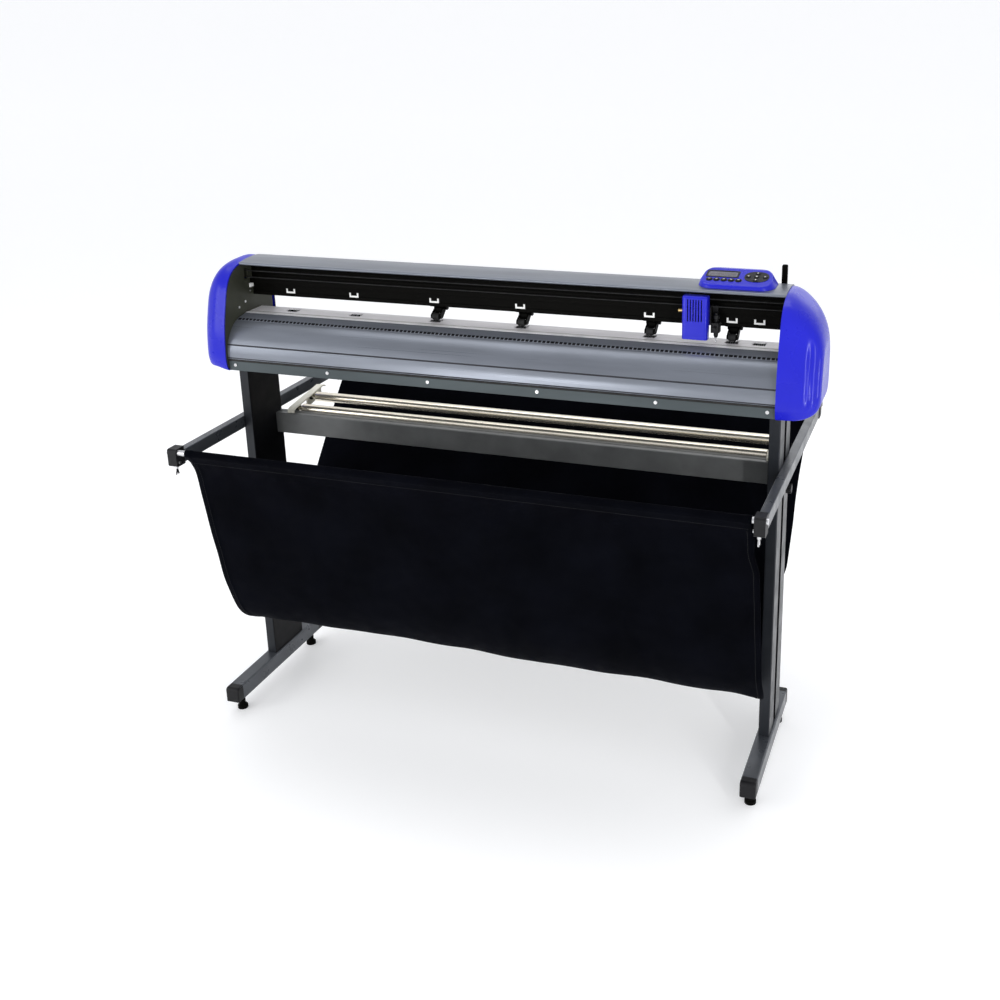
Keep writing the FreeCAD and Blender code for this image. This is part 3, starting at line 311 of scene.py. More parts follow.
def rubber(name, colour):
    finish = Finish(name, {"Specular IOR Level": 0.3})
    finish.soft_edges(0.0006)
    finish.colour(finish.noise(60.0), scaled(colour, 0.8), scaled(colour, 1.4))
    finish.gloss(finish.noise(90.0), 0.66, 0.82)
    finish.relief(finish.noise(1800.0), 0.2, 0.0003)
    return finish.material


THREAD_BANDS = 260.0


def woven_cloth(name, colour):
    finish = Finish(name, {"Sheen Weight": 0.006, "Sheen Roughness": 0.45,
                           "Sheen Tint": (0.45, 0.5, 0.8, 1), "Specular IOR Level": 0.012})
    warp = finish.bands(THREAD_BANDS, "X")
    weft = finish.bands(THREAD_BANDS, "Y")
    weave = finish.math("MAXIMUM", warp, weft)
    finish.colour(finish.noise(7.0, detail=6.0, uv=True), scaled(colour, 0.75), scaled(colour, 1.5))
    finish.gloss(finish.noise(30.0, uv=True), 0.62, 0.80)
    finish.relief(finish.noise(55.0, uv=True), 0.25, 0.0012)
    finish.relief(weave, 0.30, 0.0004)
    return finish.material


def circuit_board(name, colour):
    finish = Finish(name, {})
    finish.colour(finish.cells(120.0, feature="DISTANCE_TO_EDGE"), scaled(colour, 2.2), colour, (0.02, 0.06))
    finish.gloss(finish.noise(50.0), 0.3, 0.45)
    return finish.material


def display_glass(name, colour):
    """Grey liquid crystal behind a glossy window."""
    finish = Finish(name, {"Coat Weight": 0.6, "Coat Roughness": 0.04})
    finish.colour(finish.noise(25.0), scaled(colour, 0.92), colour)
    finish.gloss(finish.noise(30.0), 0.18, 0.26)
    return finish.material


def make_materials():
    return {
        "cap_blue": gloss_plastic("blue_gloss", (0.010, 0.012, 0.46)),
        "head_metal": brushed_paint("slate_metallic", (0.170, 0.185, 0.215), 0.32, 0.65),
        "side_paint": powder_coat("charcoal_coat", (0.036, 0.038, 0.027), 0.5, 0.1, 0.35, 0.2),
        "stand_paint": powder_coat("slate_coat", (0.062, 0.068, 0.078), 0.30, 0.35, 0.5, 0.40),
        # painted shade: darker copy of the stand's slate for the columns, shaded by the head
        "column_shade_paint": powder_coat("column_slate_painted_shade", (0.016, 0.018, 0.022), 0.34, 0.2, 0.5, 0.25),
        # painted highlight: lighter copy of the stand's slate for the crossbeam
        "bar_highlight_paint": powder_coat("bar_slate_painted_highlight", (0.150, 0.155, 0.155), 0.34, 0.4, 0.4, 0.4),
        # painted shade: near-black copy of the coat for the columns' inner sides
        "stand_shade": powder_coat("inner_side_painted_shade", (0.004, 0.004, 0.005), 0.5, 0.0, 0.3, 0.10),
        "black_anodised": brushed_paint("black_anodised", (0.0024, 0.0023, 0.0019), 0.45, 0.0, 0.025),
        "black_plastic": matte_plastic("black_plastic", (0.005, 0.005, 0.006), 0.45, 0.22),
        "deck_metal": brushed_paint("deck_satin", (0.93, 0.90, 0.92), 0.38, 0.12),
        "steel": turned_metal("steel", (0.60, 0.60, 0.61), 0.25),
        "roller_steel": brushed_paint("roller_steel", (0.84, 0.78, 0.66), 0.20, 0.85),
        "zinc": powder_coat("cream_enamel", (0.72, 0.70, 0.60), 0.35, 0.0, 0.2),
        "rubber": rubber("rubber", (0.016, 0.016, 0.016)),
        "cloth": woven_cloth("black_cloth", (0.0012, 0.0014, 0.0025)),
        "circuit": circuit_board("circuit_board", (0.02, 0.12, 0.05)),
        "display": display_glass("display", (0.104, 0.098, 0.128)),
        "brass": turned_metal("brass", (0.72, 0.52, 0.22), 0.28),
        "white_print": matte_plastic("white_print", (0.78, 0.78, 0.76), 0.45),
        # black for printed dashes and vents, and painted shade in the columns' slots and on the caps' rear
        # rims
        "black_and_painted_shade": matte_plastic("black_and_painted_shade", (0.0022, 0.0022, 0.003), 0.6, 0.08),
        "strip_white": matte_plastic("strip_white", (0.55, 0.54, 0.52), 0.4),
        # painted highlight: bright strip along the deck's front edge
        "edge_highlight": matte_plastic("edge_highlight_white", (0.86, 0.86, 0.86), 0.35),
        "tray_paint": brushed_paint("tray_slate", (0.062, 0.076, 0.081), 0.42, 0.25, 0.25),
        "slope_paint": brushed_paint("slope_slate", (0.185, 0.200, 0.235), 0.40, 0.35),
        # painted shade in the front panel's grooves
        "groove_painted_shade": matte_plastic("groove_painted_shade", (0.030, 0.030, 0.036), 0.5, 0.2),
        "display_dark": matte_plastic("display_dark", (0.085, 0.08, 0.10), 0.3),
    }


def finish_nodes(materials):
    """Every CAD node takes the finish that the record names for it."""
    for part in frame["record"]["subparts"]:
        node = frame["nodes"][part["node"]]
        node.data.materials.clear()
        node.data.materials.append(materials[part["material_slot"]])


def paint_where(node_name, material, wanted):
    """A second material on the faces of a CAD node whose middle and normal pass the test."""
    mesh = frame["nodes"][node_name].data
    mesh.materials.append(material)
    index = len(mesh.materials) - 1
    for face in mesh.polygons:
        if wanted(face.center, face.normal):
            face.material_index = index


# ---- mesh helpers ----
def piece(name, points, faces, material, body, smooth=False):
    mesh = bpy.data.meshes.new(name)
    mesh.from_pydata([tuple(p) for p in points], [], faces)
    mesh.materials.append(material)
    for face in mesh.polygons:
        face.use_smooth = smooth
    mesh.update()
    made = bpy.data.objects.new(name, mesh)
    bpy.context.scene.collection.objects.link(made)
    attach(made, body)
    return made


class Shape:
    """Points and faces collected from several small closed forms."""

    def __init__(self):
        self.points = []
        self.faces = []

    def add(self, points, faces):
        base = len(self.points)
        self.points += points
        self.faces += [tuple(base + n for n in face) for face in faces]

    def block(self, origin, along, across, up):
        """A box from one corner and three edge vectors."""
        corners = [origin + along * a + across * b + up * c for c in (0, 1) for b in (0, 1) for a in (0, 1)]
        sides = [(0, 2, 3, 1), (4, 5, 7, 6), (0, 1, 5, 4), (1, 3, 7, 5), (3, 2, 6, 7), (2, 0, 4, 6)]
        if along.cross(across).dot(up) < 0:
            sides = [tuple(reversed(side)) for side in sides]
        self.add(corners, sides)

    def prism(self, outline, up):
        """A flat outline pulled along up; the outline runs anticlockwise seen from the tip of up."""
        count = len(outline)
        points = list(outline) + [p + up for p in outline]
        faces = [tuple(reversed(range(count))), tuple(range(count, 2 * count))]
        faces += [(n, (n + 1) % count, count + (n + 1) % count, count + n) for n in range(count)]
        self.add(points, faces)


# ---- catch basket ----
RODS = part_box("basket_rods")
ROD_R = (RODS[1].z - RODS[0].z) / 2
FRONT_ROD = Vector((RODS[0].y + ROD_R, RODS[0].z + ROD_R))      # (y, z) of the rods' axes
REAR_ROD = Vector((RODS[1].y - ROD_R, RODS[0].z + ROD_R))
CLOTH_X = tuple(corner.x - DATUM.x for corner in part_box("media_basket"))
CLOTH_HALF = (CLOTH_X[1] - CLOTH_X[0]) / 2
CLOTH_NARROW = 635 * MM     # half width between the columns
CLOTH_THICK = 1.1 * MM
CLOTH_FLARE = 12 * MM       # how far the front's right edge hangs out below the clamp
SLEEVE_R = ROD_R + 1.2 * MM
STITCH_DROP = 27 * MM       # stitch line below the rod's axis
FLAP = 9 * MM               # hem beyond the stitch line
HEM = 16 * MM               # side hem
CLOTH_LINE = [(-241, 680), (-226, 607), (-200, 481), (-168, 360), (-135, 290), (-88, 238),
              (-25, 211), (35, 217), (88, 269), (240, 451), (400, 642)]     # (y, z) in mm
ROW_STEP = 9 * MM
COLUMN_STEP = 11 * MM
COLUMN_ZONE = (-10, 215, 520)   # behind, before and below these (y, y, z) the sheet is narrow
FLARE_ZONE = (655, -66)         # below and before these (z, y) the right edge hangs out
HELD = 0.12                 # the sheet is flatter than this near its rods
HEM_FOLD = 0.0012           # width of the step at the side hems, as a share of half the cloth
HEM_PROUD = 0.5 * MM
SAG = 7 * MM                # broad unevenness of the hanging sheet
FOLDS = 3.6 * MM            # upright folds from the rods
CRUMPLE = 7 * MM            # creases at the lower corners
CORNER_DOWN = 0.50          # from the front stitch line to the lower corners
GATHER_PITCH = 0.047
GATHER_DEEP = 0.7 * MM      # puckers beside the stitch lines


def flat_point(y, z):
    place = at(0, y, z)
    return Vector((place.y, place.z))


def sleeve(centre, hang, inner):
    """Cloth round a rod, from its free edge, over the rod, to the stitch line. hang points down the
    sheet, inner to the side where the free edge lies."""
    start = math.acos(SLEEVE_R / STITCH_DROP)
    points = [centre + hang * (STITCH_DROP + FLAP) + inner * CLOTH_THICK * 1.3,
              centre + hang * STITCH_DROP + inner * CLOTH_THICK * 1.3]
    turns = 18
    for n in range(turns + 1):
        angle = start + (2 * math.pi - 2 * start) * n / turns
        points.append(centre + (hang * math.cos(angle) + inner * math.sin(angle)) * SLEEVE_R)
    return points


def catmull(points, steps):
    """Smooth line through points."""
    ends = [points[0] * 2 - points[1]] + points + [points[-1] * 2 - points[-2]]
    line = []
    for a, b, c, d in zip(ends, ends[1:], ends[2:], ends[3:]):
        for n in range(steps):
            t = n / steps
            line.append(0.5 * (2 * b + (c - a) * t + (2 * a - 5 * b + 4 * c - d) * t ** 2
                               + (3 * b - a - 3 * c + d) * t ** 3))
    return line + [points[-1]]


class ClothLine:
    """The basket's section as one line of (y, z) points, measured along its length."""

    def __init__(self):
        body = [flat_point(y, z) for y, z in CLOTH_LINE]
        front_hang = (body[0] - FRONT_ROD).normalized()
        rear_hang = (body[-1] - REAR_ROD).normalized()
        front = sleeve(FRONT_ROD, front_hang, Vector((-front_hang.y, front_hang.x)))
        rear = sleeve(REAR_ROD, rear_hang, Vector((rear_hang.y, -rear_hang.x)))
        sheet = [FRONT_ROD + front_hang * STITCH_DROP] + body + [REAR_ROD + rear_hang * STITCH_DROP]
        self.points = front + catmull(sheet, 12) + rear[::-1]
        self.places = [0.0]
        for a, b in zip(self.points, self.points[1:]):
            self.places.append(self.places[-1] + (b - a).length)
        self.length = self.places[-1]
        self.front_stitch = self.places[len(front)]
        self.rear_stitch = self.places[-len(rear) - 1]

    def find(self, s):
        """(y, z) point and direction at s."""
        low, high = 0, len(self.places) - 1
        while high - low > 1:
            middle = (low + high) // 2
            if self.places[middle] <= s:
                low = middle
            else:
                high = middle
        run = max(self.places[high] - self.places[low], 1e-9)
        share = (s - self.places[low]) / run
        a, b = self.points[low], self.points[high]
        return a.lerp(b, share), (b - a).normalized()


def smoothstep(value):
    value = min(1.0, max(0.0, value))
    return value * value * (3 - 2 * value)


def cloth_edges(point):
    """x of the sheet's left and right edges at a section point, nearer where the columns stand."""
    y = (point.x - DATUM.y) / MM
    z = (point.y - DATUM.z) / MM
    front, back, top = COLUMN_ZONE
    into = smoothstep((y - front) / 48 + 1) * smoothstep((back - y) / 60) * smoothstep((top - z) / 90)
    left, right = (edge + (math.copysign(CLOTH_NARROW, edge) - edge) * into for edge in CLOTH_X)
    flare_top, flare_back = FLARE_ZONE
    out = smoothstep((flare_top - z) / 60) * smoothstep((flare_back - y) / 50)
    return left, right + CLOTH_FLARE * out


def cloth_wave(x, s, line):
    """How far the sheet stands out from its smooth section, in metres: broad sag, folds that hang
    from the rods, and crumpled lower corners."""
    below_front = s - line.front_stitch
    below_rear = line.rear_stitch - s
    held = smoothstep(below_front / HELD) * smoothstep(below_rear / HELD)
    broad = noise.noise(Vector((x * 2.1, s * 1.9, 3.1))) * SAG
    folds = noise.noise(Vector((x * 9.0 + s * 1.5, s * 1.3, 8.7))) * FOLDS
    edge = smoothstep((abs(x) - 0.42) / 0.20)
    corner = edge * math.exp(-((below_front - CORNER_DOWN) / 0.13) ** 2)
    crumple = noise.noise(Vector((x * 14.0, s * 11.0, 5.5))) * CRUMPLE * corner
    pucker = math.sin(x * 2 * math.pi / GATHER_PITCH + 2 * math.sin(x * 9))
    near = math.exp(-abs(below_front) / 0.03) + math.exp(-abs(below_rear) / 0.03)
    gathers = pucker * GATHER_DEEP * near
    return (broad + folds) * held + crumple + gathers * smoothstep(abs(below_front) / 0.004)


def cloth_point(x_share, s, line, lift=0.0):
    """Point of the basket cloth: x_share from -1 to 1 across it, s along its section."""
    point, way = line.find(s)
    left, right = cloth_edges(point)
    half = (right - left) / 2
    x = (left + right) / 2 + x_share * half
    out = Vector((way.y, -way.x))
    on_sheet = line.front_stitch < s < line.rear_stitch
    away = lift
    if on_sheet:
        away += cloth_wave(x, s, line)
    if half * (1 - abs(x_share)) < HEM:
        away += HEM_PROUD
    edge_in = (noise.noise(Vector((s * 9.0, 2.0 * x_share, 1.3))) - 0.35) * 3 * MM * abs(x_share) ** 9
    moved = point + out * away
    return Vector((DATUM.x + x + min(0.0, edge_in) * math.copysign(1, x_share), moved.x, moved.y))


def even_steps(start, end, step):
    count = max(1, round((end - start) / step))
    return [start + (end - start) * n / count for n in range(count + 1)]


def make_basket(materials):
    line = ClothLine()
    rows = [s for s in line.places if s < line.front_stitch]
    rows += even_steps(line.front_stitch, line.rear_stitch, ROW_STEP)
    rows += [s for s in line.places if s > line.rear_stitch]
    hem = 1 - HEM / CLOTH_HALF
    columns = [-1.0, -hem - HEM_FOLD] + even_steps(-hem, hem, COLUMN_STEP / CLOTH_HALF)
    columns += [hem + HEM_FOLD, 1.0]
    points = [cloth_point(share, s, line) for s in rows for share in columns]
    wide = len(columns)
    faces = [(r * wide + c, r * wide + c + 1, (r + 1) * wide + c + 1, (r + 1) * wide + c)
             for r in range(len(rows) - 1) for c in range(wide - 1)]
    cloth = piece("basket_cloth", points, faces, materials["cloth"], "frame", smooth=True)
    layer = cloth.data.uv_layers.new(name="flat")
    for loop in cloth.data.loops:
        row, column = divmod(loop.vertex_index, wide)
        layer.data[loop.index].uv = (columns[column] * CLOTH_HALF, rows[row])
    solid = cloth.modifiers.new("thickness", "SOLIDIFY")
    solid.thickness = CLOTH_THICK
    solid.offset = 0
    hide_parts("media_basket")
    seams = make_stitching(line, materials)


STITCH = 3.4 * MM
STITCH_GAP = 1.6 * MM
THREAD = 0.45 * MM
SIDE_STITCH = 13 * MM       # side hems' stitches from the cloth's edge
SIDE_START = 8 * MM         # and from the sleeves
SLEEVE_STITCHES = (-0.985, 0.98)    # ends of the sleeves' stitch lines, as shares across the cloth


def make_stitching(line, materials):
    """Thread dashes along the sleeves and the side hems, on the outer face."""
    threads = Shape()

    def dash(start, end, out):
        along = end - start
        across = along.cross(out).normalized() * THREAD
        threads.block(start - across / 2 - out * THREAD / 2, along, across, out.normalized() * THREAD)

    pitch = (STITCH + STITCH_GAP) / CLOTH_HALF
    lift = CLOTH_THICK / 2
    for s in (line.front_stitch + 1 * MM, line.rear_stitch - 1 * MM):
        share = SLEEVE_STITCHES[0]
        while share < SLEEVE_STITCHES[1]:
            ends = [cloth_point(share + STITCH / CLOTH_HALF * n, s, line, lift) for n in (0, 1)]
            out = cloth_point(share, s, line, lift + 1 * MM) - ends[0]
            dash(ends[0], ends[1], out.normalized())
            share += pitch
    for share in (-1 + SIDE_STITCH / CLOTH_HALF, 1 - SIDE_STITCH / CLOTH_HALF):
        s = line.front_stitch + SIDE_START
        while s < line.rear_stitch - SIDE_START:
            ends = [cloth_point(share, s + STITCH * n, line, lift) for n in (0, 1)]
            out = cloth_point(share, s, line, lift + 1 * MM) - ends[0]
            dash(ends[0], ends[1], out.normalized())
            s += STITCH + STITCH_GAP
    return piece("basket_stitching", threads.points, threads.faces, materials["rubber"], "frame")


# ---- second finishes, painted shade and painted highlight on CAD pieces ----
def local(point):
    """(x, y, z) in the design's millimetres."""
    return (point - DATUM) / MM


PANEL_GROOVES = ((-41.8, 933.3, 2.0), (-23.5, 964.2, 0.9), (-45.6, 901.5, 1.3))     # y, z, radius in mm
SLOT_X = (654, 662.3)       # the columns' outer slot
SLOT_Y = (50, 85)
COLUMN_INNER_X = 640        # nearer the middle than this is a column's inner side
SLOPE_BACK_Y = 48           # the deck's front slope ends here
RIM_X = 658.2               # the end caps' rims that show behind the side plates
RIM_Y = 120
STUB_X = 437                # left of this the carriage block is its brass stub
FOOT_CAP_Y = (-165.5, 207.5)


def paint_details(materials):
    """Faces of one CAD piece that are finished differently from the rest of it; the columns, their slots and
    inner sides, the caps' rear rims and the panel's grooves get painted shade, and the crossbeam a painted
    highlight.
    """
    # faces inside the columns' outer slot, which get painted shade
    def shaded_slot_lining(middle, normal):
        place = local(middle)
        return SLOT_X[0] < abs(place.x) < SLOT_X[1] and SLOT_Y[0] < place.y < SLOT_Y[1]

    # the columns' inner sides, which get painted shade
    def shaded_inner_side(middle, normal):
        inward = -normal.x * math.copysign(1, middle.x - DATUM.x)
        return inward > 0.7 and abs(local(middle).x) < COLUMN_INNER_X

    # painted shade: the columns take a darker copy of the stand's slate, for the head's shadow on them
    paint_where("columns", materials["column_shade_paint"], lambda middle, normal: True)
    # painted highlight: the crossbeam takes a lighter copy of the stand's slate
    paint_where("crossbeam", materials["bar_highlight_paint"], lambda middle, normal: True)
    # painted shade: the columns' inner sides near black
    paint_where("columns", materials["stand_shade"], shaded_inner_side)
    # painted shade: the columns' outer slots lined near black
    paint_where("columns", materials["black_and_painted_shade"], shaded_slot_lining)
    paint_where("platen", materials["slope_paint"], lambda middle, normal: local(middle).y < SLOPE_BACK_Y)
    paint_where("base_tray", materials["tray_paint"], lambda middle, normal: True)
    # painted shade: the caps' rims behind the side plates are painted black
    for cap in ("end_cap_left", "end_cap_right"):
        paint_where(cap, materials["black_and_painted_shade"],
                    lambda middle, normal: abs(local(middle).x) < RIM_X and local(middle).y > RIM_Y)
    # painted shade: the faces inside the front panel's grooves are painted dark
    for groove_y, groove_z, radius in PANEL_GROOVES:
        paint_where("front_panel", materials["groove_painted_shade"], lambda middle, normal: math.hypot(
            local(middle).y - groove_y, local(middle).z - groove_z) < radius + 0.05)
    paint_where("carriage_block", materials["brass"], lambda middle, normal: local(middle).x < STUB_X)
    paint_where("foot_beams", materials["black_plastic"],
                lambda middle, normal: not FOOT_CAP_Y[0] <= local(middle).y <= FOOT_CAP_Y[1])


# ---- printed and fitted details of the head ----
HEAD_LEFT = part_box("front_panel")[0].x
HEAD_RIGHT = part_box("front_panel")[1].x
BEAM_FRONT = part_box("beam")[0].y
DECK_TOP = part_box("platen")[1].z
ROLLER_X = (-552, -380, -170, 45, 350, 535, 595)
RULER_DASHES = 131
RULER_FIRST = 7.5           # first dash from the head's left wall
RULER_PITCH = 10
DASH_HALF = (3.5, 4.4)      # half length of a dash, and of every tenth
RULER_SECTION = ((5.2, 982.6), (9.0, 984.6), (12.5, 985.9), (17.5, 986.9))      # y, z
CUTTING_SECTION = ((60.3, -0.35), (60.9, 0.15), (67.1, 0.15), (67.7, -0.35))    # y, height over the deck
EDGE_HIGHLIGHT_SECTION = ((46.6, 990.9), (48.2, 991.3), (54.0, 991.4))
SEAL_SECTION = ((-43.6, 898.8), (-41.8, 898.9))
CLIP_CORNER = (-657.4, 72, 1048)
CLIP_SIZE = (3, 15, 10)
MARK_Z = 1035.5


def section_strip(shape, section, thick, x0, x1):
    """A band along X: section is (y, z) points from front to back, thick measured downwards."""
    count = len(section)
    points = []
    for x in (x0, x1):
        points += [Vector((x, p.x, p.y)) for p in section]
        points += [Vector((x, p.x, p.y - thick)) for p in section]
    side = 2 * count
    faces = []
    for n in range(count - 1):
        faces.append((n, side + n, side + n + 1, n + 1))
        faces.append((count + n, count + n + 1, side + count + n + 1, side + count + n))
        faces.append((n, n + 1, count + n + 1, count + n))
        faces.append((side + n, side + count + n, side + count + n + 1, side + n + 1))
    faces.append((0, count, side + count, side))
    faces.append((count - 1, side + count - 1, side + 2 * count - 1, 2 * count - 1))
    shape.add(points, faces)


def make_ruler(materials):
    """Scale along the apron's upper edge: a slate strip with a black dash every 10 mm."""
    section = [flat_point(*corner) for corner in RULER_SECTION]
    strip = Shape()
    section_strip(strip, section, 0.6 * MM, HEAD_LEFT + 1 * MM, HEAD_RIGHT - 1 * MM)
    piece("ruler_strip", strip.points, strip.faces, materials["slope_paint"], "frame")
    dashes = Shape()
    lift = Vector((0, 0.2 * MM))
    first = section[0] + Vector((0.5, 0.3)) * MM
    line = [first + lift, section[1] + lift, section[2] + lift]
    for n in range(RULER_DASHES):
        x = HEAD_LEFT + (RULER_FIRST + RULER_PITCH * n) * MM
        half = DASH_HALF[n % 10 == 0] * MM
        section_strip(dashes, line, 0.3 * MM, x - half, x + half)
    piece("ruler_dashes", dashes.points, dashes.faces, materials["black_and_painted_shade"], "frame")


def make_cutting_strip(materials):
    """Replaceable strip under the knife, in the deck's groove."""
    section = [Vector((at(0, y, 0).y, DECK_TOP + height * MM)) for y, height in CUTTING_SECTION]
    strip = Shape()
    section_strip(strip, section, 0.45 * MM, HEAD_LEFT + 0.5 * MM, HEAD_RIGHT - 0.5 * MM)
    piece("cutting_strip", strip.points, strip.faces, materials["strip_white"], "frame")


def make_edge_strips(materials):
    """Bright strip along the deck's front edge as a painted highlight, and black seal between the apron and
    the tray.
    """
    left, right = HEAD_LEFT + 0.5 * MM, HEAD_RIGHT - 0.5 * MM
    edge_highlight = Shape()
    section = [flat_point(*corner) for corner in EDGE_HIGHLIGHT_SECTION]
    section_strip(edge_highlight, section, 0.5 * MM, left, right)
    piece("deck_edge_highlight", edge_highlight.points, edge_highlight.faces, materials["edge_highlight"], "frame")
    seal = Shape()
    section = [flat_point(*corner) for corner in SEAL_SECTION]
    section_strip(seal, section, 5.6 * MM, left, right)
    piece("apron_seal", seal.points, seal.faces, materials["rubber"], "frame")


def make_belt_clip(materials):
    """White clip on the left side plate, level with the belt."""
    clip = Shape()
    wide, deep, high = (part * MM for part in CLIP_SIZE)
    clip.block(at(*CLIP_CORNER), Vector((wide, 0, 0)), Vector((0, deep, 0)), Vector((0, 0, high)))
    piece("belt_clip", clip.points, clip.faces, materials["white_print"], "frame")


def make_roller_marks(materials):
    """White open brackets on the beam, one above each grit roller."""
    wide, high, stroke, deep = 12.0, 11.0, 4.2, 0.35
    outline = [(-wide, 0), (wide, 0), (wide, high), (wide - stroke, high), (wide - stroke, stroke),
               (stroke - wide, stroke), (stroke - wide, high), (-wide, high)]
    marks = Shape()
    for x in ROLLER_X:
        corners = [at(x + dx, 0, MARK_Z + dz) for dx, dz in outline]
        for corner in corners:
            corner.y = BEAM_FRONT - 0.02 * MM
        marks.prism(corners, Vector((0, -deep * MM, 0)))
    piece("roller_marks", marks.points, marks.faces, materials["white_print"], "frame")


# ---- operating panel ----
POD_TILT = math.atan2(20, 70)
FACE_START = (54, 1127)
PAD_MIDDLE = (585, 40)
KEY_HOLE_R = 5.9
KEY_RING_R = 7.4
KEY_TOP = 2.5               # of a key, over the tilted face
PAD_SIZE = (26.2, 23.0)     # half axes of the oval surround
ON_FACE = 0.02              # fitted pieces stand clear of the face by this
CELLS = (16, 2)             # character cells of the display
CELL_START = (5.2, 5.6)
CELL_PITCH = (3.55, 7.4)
CELL_SIZE = (2.9, 5.4)
WINDOW = ((478, 34), (66, 25))          # corner (x, reach) and size of the display window
NAV_KEYS = {"enter": (0, 0), "left": (-18, 0), "right": (18, 0), "up": (0, 15), "down": (0, -15)}
SOFT_KEYS = [(486 + 15.8 * n, 21) for n in range(5)]
FACE_UP = Vector((0, -math.sin(POD_TILT), math.cos(POD_TILT)))
FACE_BACK = Vector((0, math.cos(POD_TILT), math.sin(POD_TILT)))


def face_point(x, reach, height=0.0):
    """Point on the tilted face: reach up the slope from its front edge, height above it."""
    return at(x, *FACE_START) + (FACE_BACK * reach + FACE_UP * height) * MM


def face_loop(x, reach, wide, deep, height, count, power=2.0, backwards=False):
    """Closed superellipse on the tilted face."""
    loop = []
    for n in range(count):
        angle = 2 * math.pi * n / count
        if backwards:
            angle = -angle
        c, s = math.cos(angle), math.sin(angle)
        dx = wide * math.copysign(abs(c) ** (2 / power), c)
        dr = deep * math.copysign(abs(s) ** (2 / power), s)
        loop.append(face_point(x + dx, reach + dr, height))
    return loop


def holed_plate(shape, loops, up):
    """Flat plate with holes: the first loop runs anticlockwise round it, the others clockwise."""
    flat = [point for loop in loops for point in loop]
    count = len(flat)
    for corners in tessellate_polygon(loops):
        a, b, c = corners
        if (flat[b] - flat[a]).cross(flat[c] - flat[a]).dot(up) < 0:
            b, c = c, b
        shape.faces.append((len(shape.points) + count + a, len(shape.points) + count + b,
                            len(shape.points) + count + c))
        shape.faces.append((len(shape.points) + a, len(shape.points) + c, len(shape.points) + b))
    start = len(shape.points)
    for loop in loops:
        size = len(loop)
        for n in range(size):
            here, after = start + n, start + (n + 1) % size
            shape.faces.append((here, after, count + after, count + here))
        start += size
    shape.points += flat + [point + up for point in flat]


def make_key_pad(materials):
    """Black oval surround of the five cursor keys, and a ring round each function key."""
    pad = Shape()
    x, reach = PAD_MIDDLE
    holes = [face_loop(x + dx, reach + dr, KEY_HOLE_R, KEY_HOLE_R, ON_FACE, 28, backwards=True)
             for dx, dr in NAV_KEYS.values()]
    holed_plate(pad, [face_loop(x, reach, *PAD_SIZE, ON_FACE, 72, 2.3)] + holes, FACE_UP * 0.7 * MM)
    for key_x, key_reach in SOFT_KEYS:
        ring = [face_loop(key_x, key_reach, KEY_RING_R, KEY_RING_R, ON_FACE, 28),
                face_loop(key_x, key_reach, KEY_HOLE_R, KEY_HOLE_R, ON_FACE, 28, backwards=True)]
        holed_plate(pad, ring, FACE_UP * 0.6 * MM)
    piece("key_pad", pad.points, pad.faces, materials["black_plastic"], "frame")


def make_bezel(materials):
    (x, reach), (wide, deep) = WINDOW
    middle_x, middle_reach = x + wide / 2, reach + deep / 2
    outer = face_loop(middle_x, middle_reach, wide / 2 + 2.6, deep / 2 + 2.4, ON_FACE, 64, 12.0)
    inner = face_loop(middle_x, middle_reach, wide / 2 - 1.2, deep / 2 - 1.2, ON_FACE, 64, 12.0,
                      backwards=True)
    bezel = Shape()
    holed_plate(bezel, [outer, inner], FACE_UP * 0.8 * MM)
    piece("display_bezel", bezel.points, bezel.faces, materials["black_plastic"], "frame")
    cells = Shape()
    for row in range(CELLS[1]):
        for column in range(CELLS[0]):
            corner = face_point(x + CELL_START[0] + CELL_PITCH[0] * column,
                                reach + CELL_START[1] + CELL_PITCH[1] * row, 0.03)
            cells.block(corner, Vector((CELL_SIZE[0] * MM, 0, 0)), FACE_BACK * CELL_SIZE[1] * MM,
                        FACE_UP * 0.12 * MM)
    piece("display_cells", cells.points, cells.faces, materials["display_dark"], "frame")


def symbol_outline(kind):
    """Corners (dx, dr) of a key's mark, anticlockwise."""
    arrow = [(-2.0, -1.6), (2.0, -1.6), (0.0, 2.2)]
    turns = {"up": 0, "left": 90, "down": 180, "right": 270}
    if kind in turns:
        turn = math.radians(turns[kind])
        return [(x * math.cos(turn) - y * math.sin(turn), x * math.sin(turn) + y * math.cos(turn))
                for x, y in arrow]
    if kind == "enter":
        return [(1.9 * math.cos(a * math.pi / 8), 1.9 * math.sin(a * math.pi / 8)) for a in range(16)]
    return [(-2.2, -0.7), (2.2, -0.7), (2.2, 0.7), (-2.2, 0.7)]


def make_key_marks(materials):
    """A light mark on every key, riding on the key's own body."""
    keys = [("soft_key_%d" % (n + 1), "bar", place) for n, place in enumerate(SOFT_KEYS)]
    keys += [(name + "_key", name, (PAD_MIDDLE[0] + dx, PAD_MIDDLE[1] + dr))
             for name, (dx, dr) in NAV_KEYS.items()]
    for node, kind, (x, reach) in keys:
        mark = Shape()
        corners = [face_point(x + dx, reach + dr, KEY_TOP - 0.03) for dx, dr in symbol_outline(kind)]
        mark.prism(corners, FACE_UP * 0.15 * MM)
        piece(node + "_mark", mark.points, mark.faces, materials["white_print"], node + "_cap")


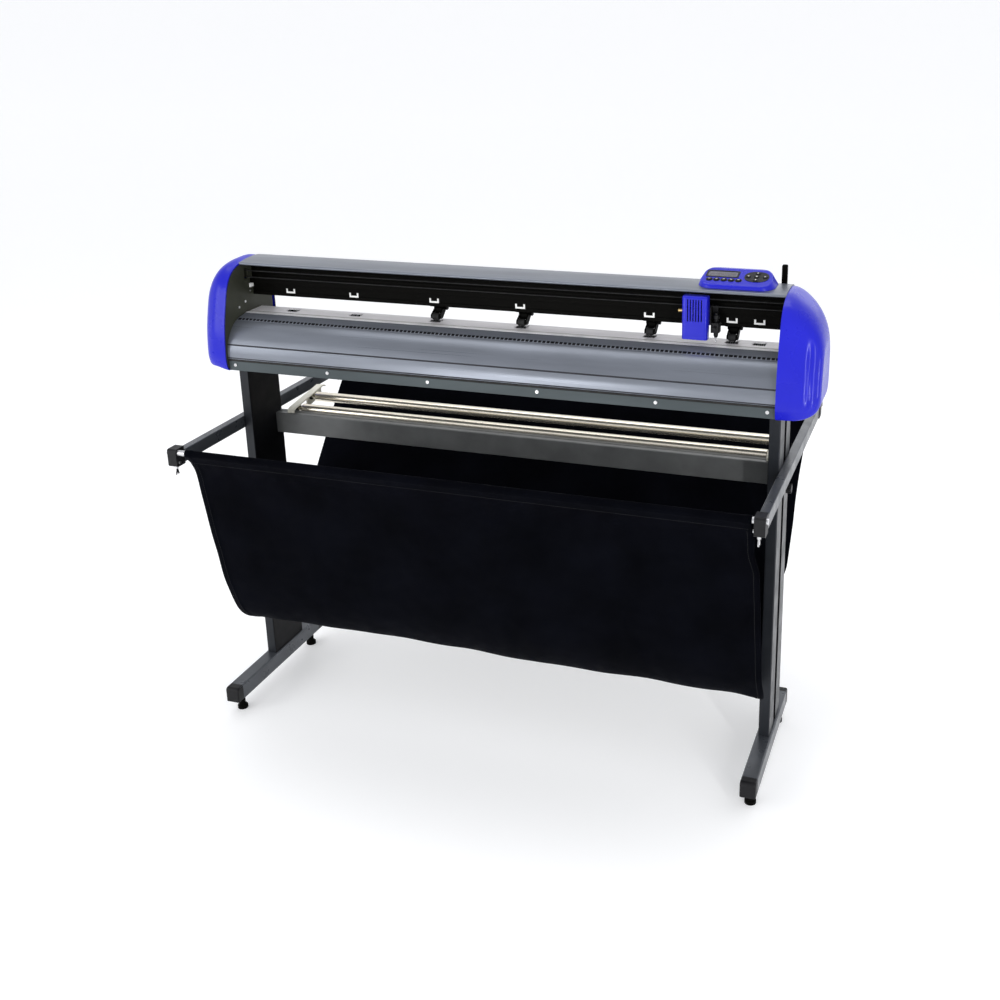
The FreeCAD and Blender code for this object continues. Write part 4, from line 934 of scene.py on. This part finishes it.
# ---- back of the head ----
BACK_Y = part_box("rear_panel")[1].y
PORT_PLATE = ((432, 876), (514, 876), (514, 896), (432, 896))      # x, z
PORTS = ((438, 32, 11), (478, 12, 10.5), (496, 12, 6))              # x, width and height
PORT_Z = 880.5
LOUVRE_SETS = (-420, 180)
LOUVRES = 14
LOUVRE_PITCH = 9
LOUVRE_WIDE = 3
LOUVRE_Z = (876, 895)


def make_rear_ports(materials):
    """Connector plate and cooling louvres on the back of the head."""
    plate = Shape()
    socket = Shape()
    proud = Vector((0, 1.2 * MM, 0))
    outline = [at(x, 0, z) for x, z in PORT_PLATE]
    for corner in outline:
        corner.y = BACK_Y
    plate.prism(outline[::-1], proud)
    for x, wide, high in PORTS:
        corners = [at(x, 0, PORT_Z), at(x + wide, 0, PORT_Z), at(x + wide - 1.5, 0, PORT_Z + high),
                   at(x + 1.5, 0, PORT_Z + high)]
        for corner in corners:
            corner.y = BACK_Y + 1.1 * MM
        socket.prism(corners[::-1], proud)
    piece("port_plate", plate.points, plate.faces, materials["black_plastic"], "frame")
    piece("port_sockets", socket.points, socket.faces, materials["steel"], "frame")
    louvres = Shape()
    low, high = LOUVRE_Z
    for side in LOUVRE_SETS:
        for n in range(LOUVRES):
            left = side + LOUVRE_PITCH * n
            right = left + LOUVRE_WIDE
            section = [at(left, 0, low), at(right, 0, low), at(right, 0, high), at(left, 0, high)]
            for corner in section:
                corner.y = BACK_Y - 0.1 * MM
            louvres.prism(section[::-1], Vector((0, 0.5 * MM, 0)))
    piece("rear_louvres", louvres.points, louvres.faces, materials["black_and_painted_shade"], "frame")


# ---- build ----
make_camera()
make_lights()
make_floor()
MATERIALS = make_materials()
finish_nodes(MATERIALS)
paint_details(MATERIALS)
make_basket(MATERIALS)
make_ruler(MATERIALS)
make_cutting_strip(MATERIALS)
make_edge_strips(MATERIALS)
make_belt_clip(MATERIALS)
make_roller_marks(MATERIALS)
make_key_pad(MATERIALS)
make_bezel(MATERIALS)
make_key_marks(MATERIALS)
make_rear_ports(MATERIALS)
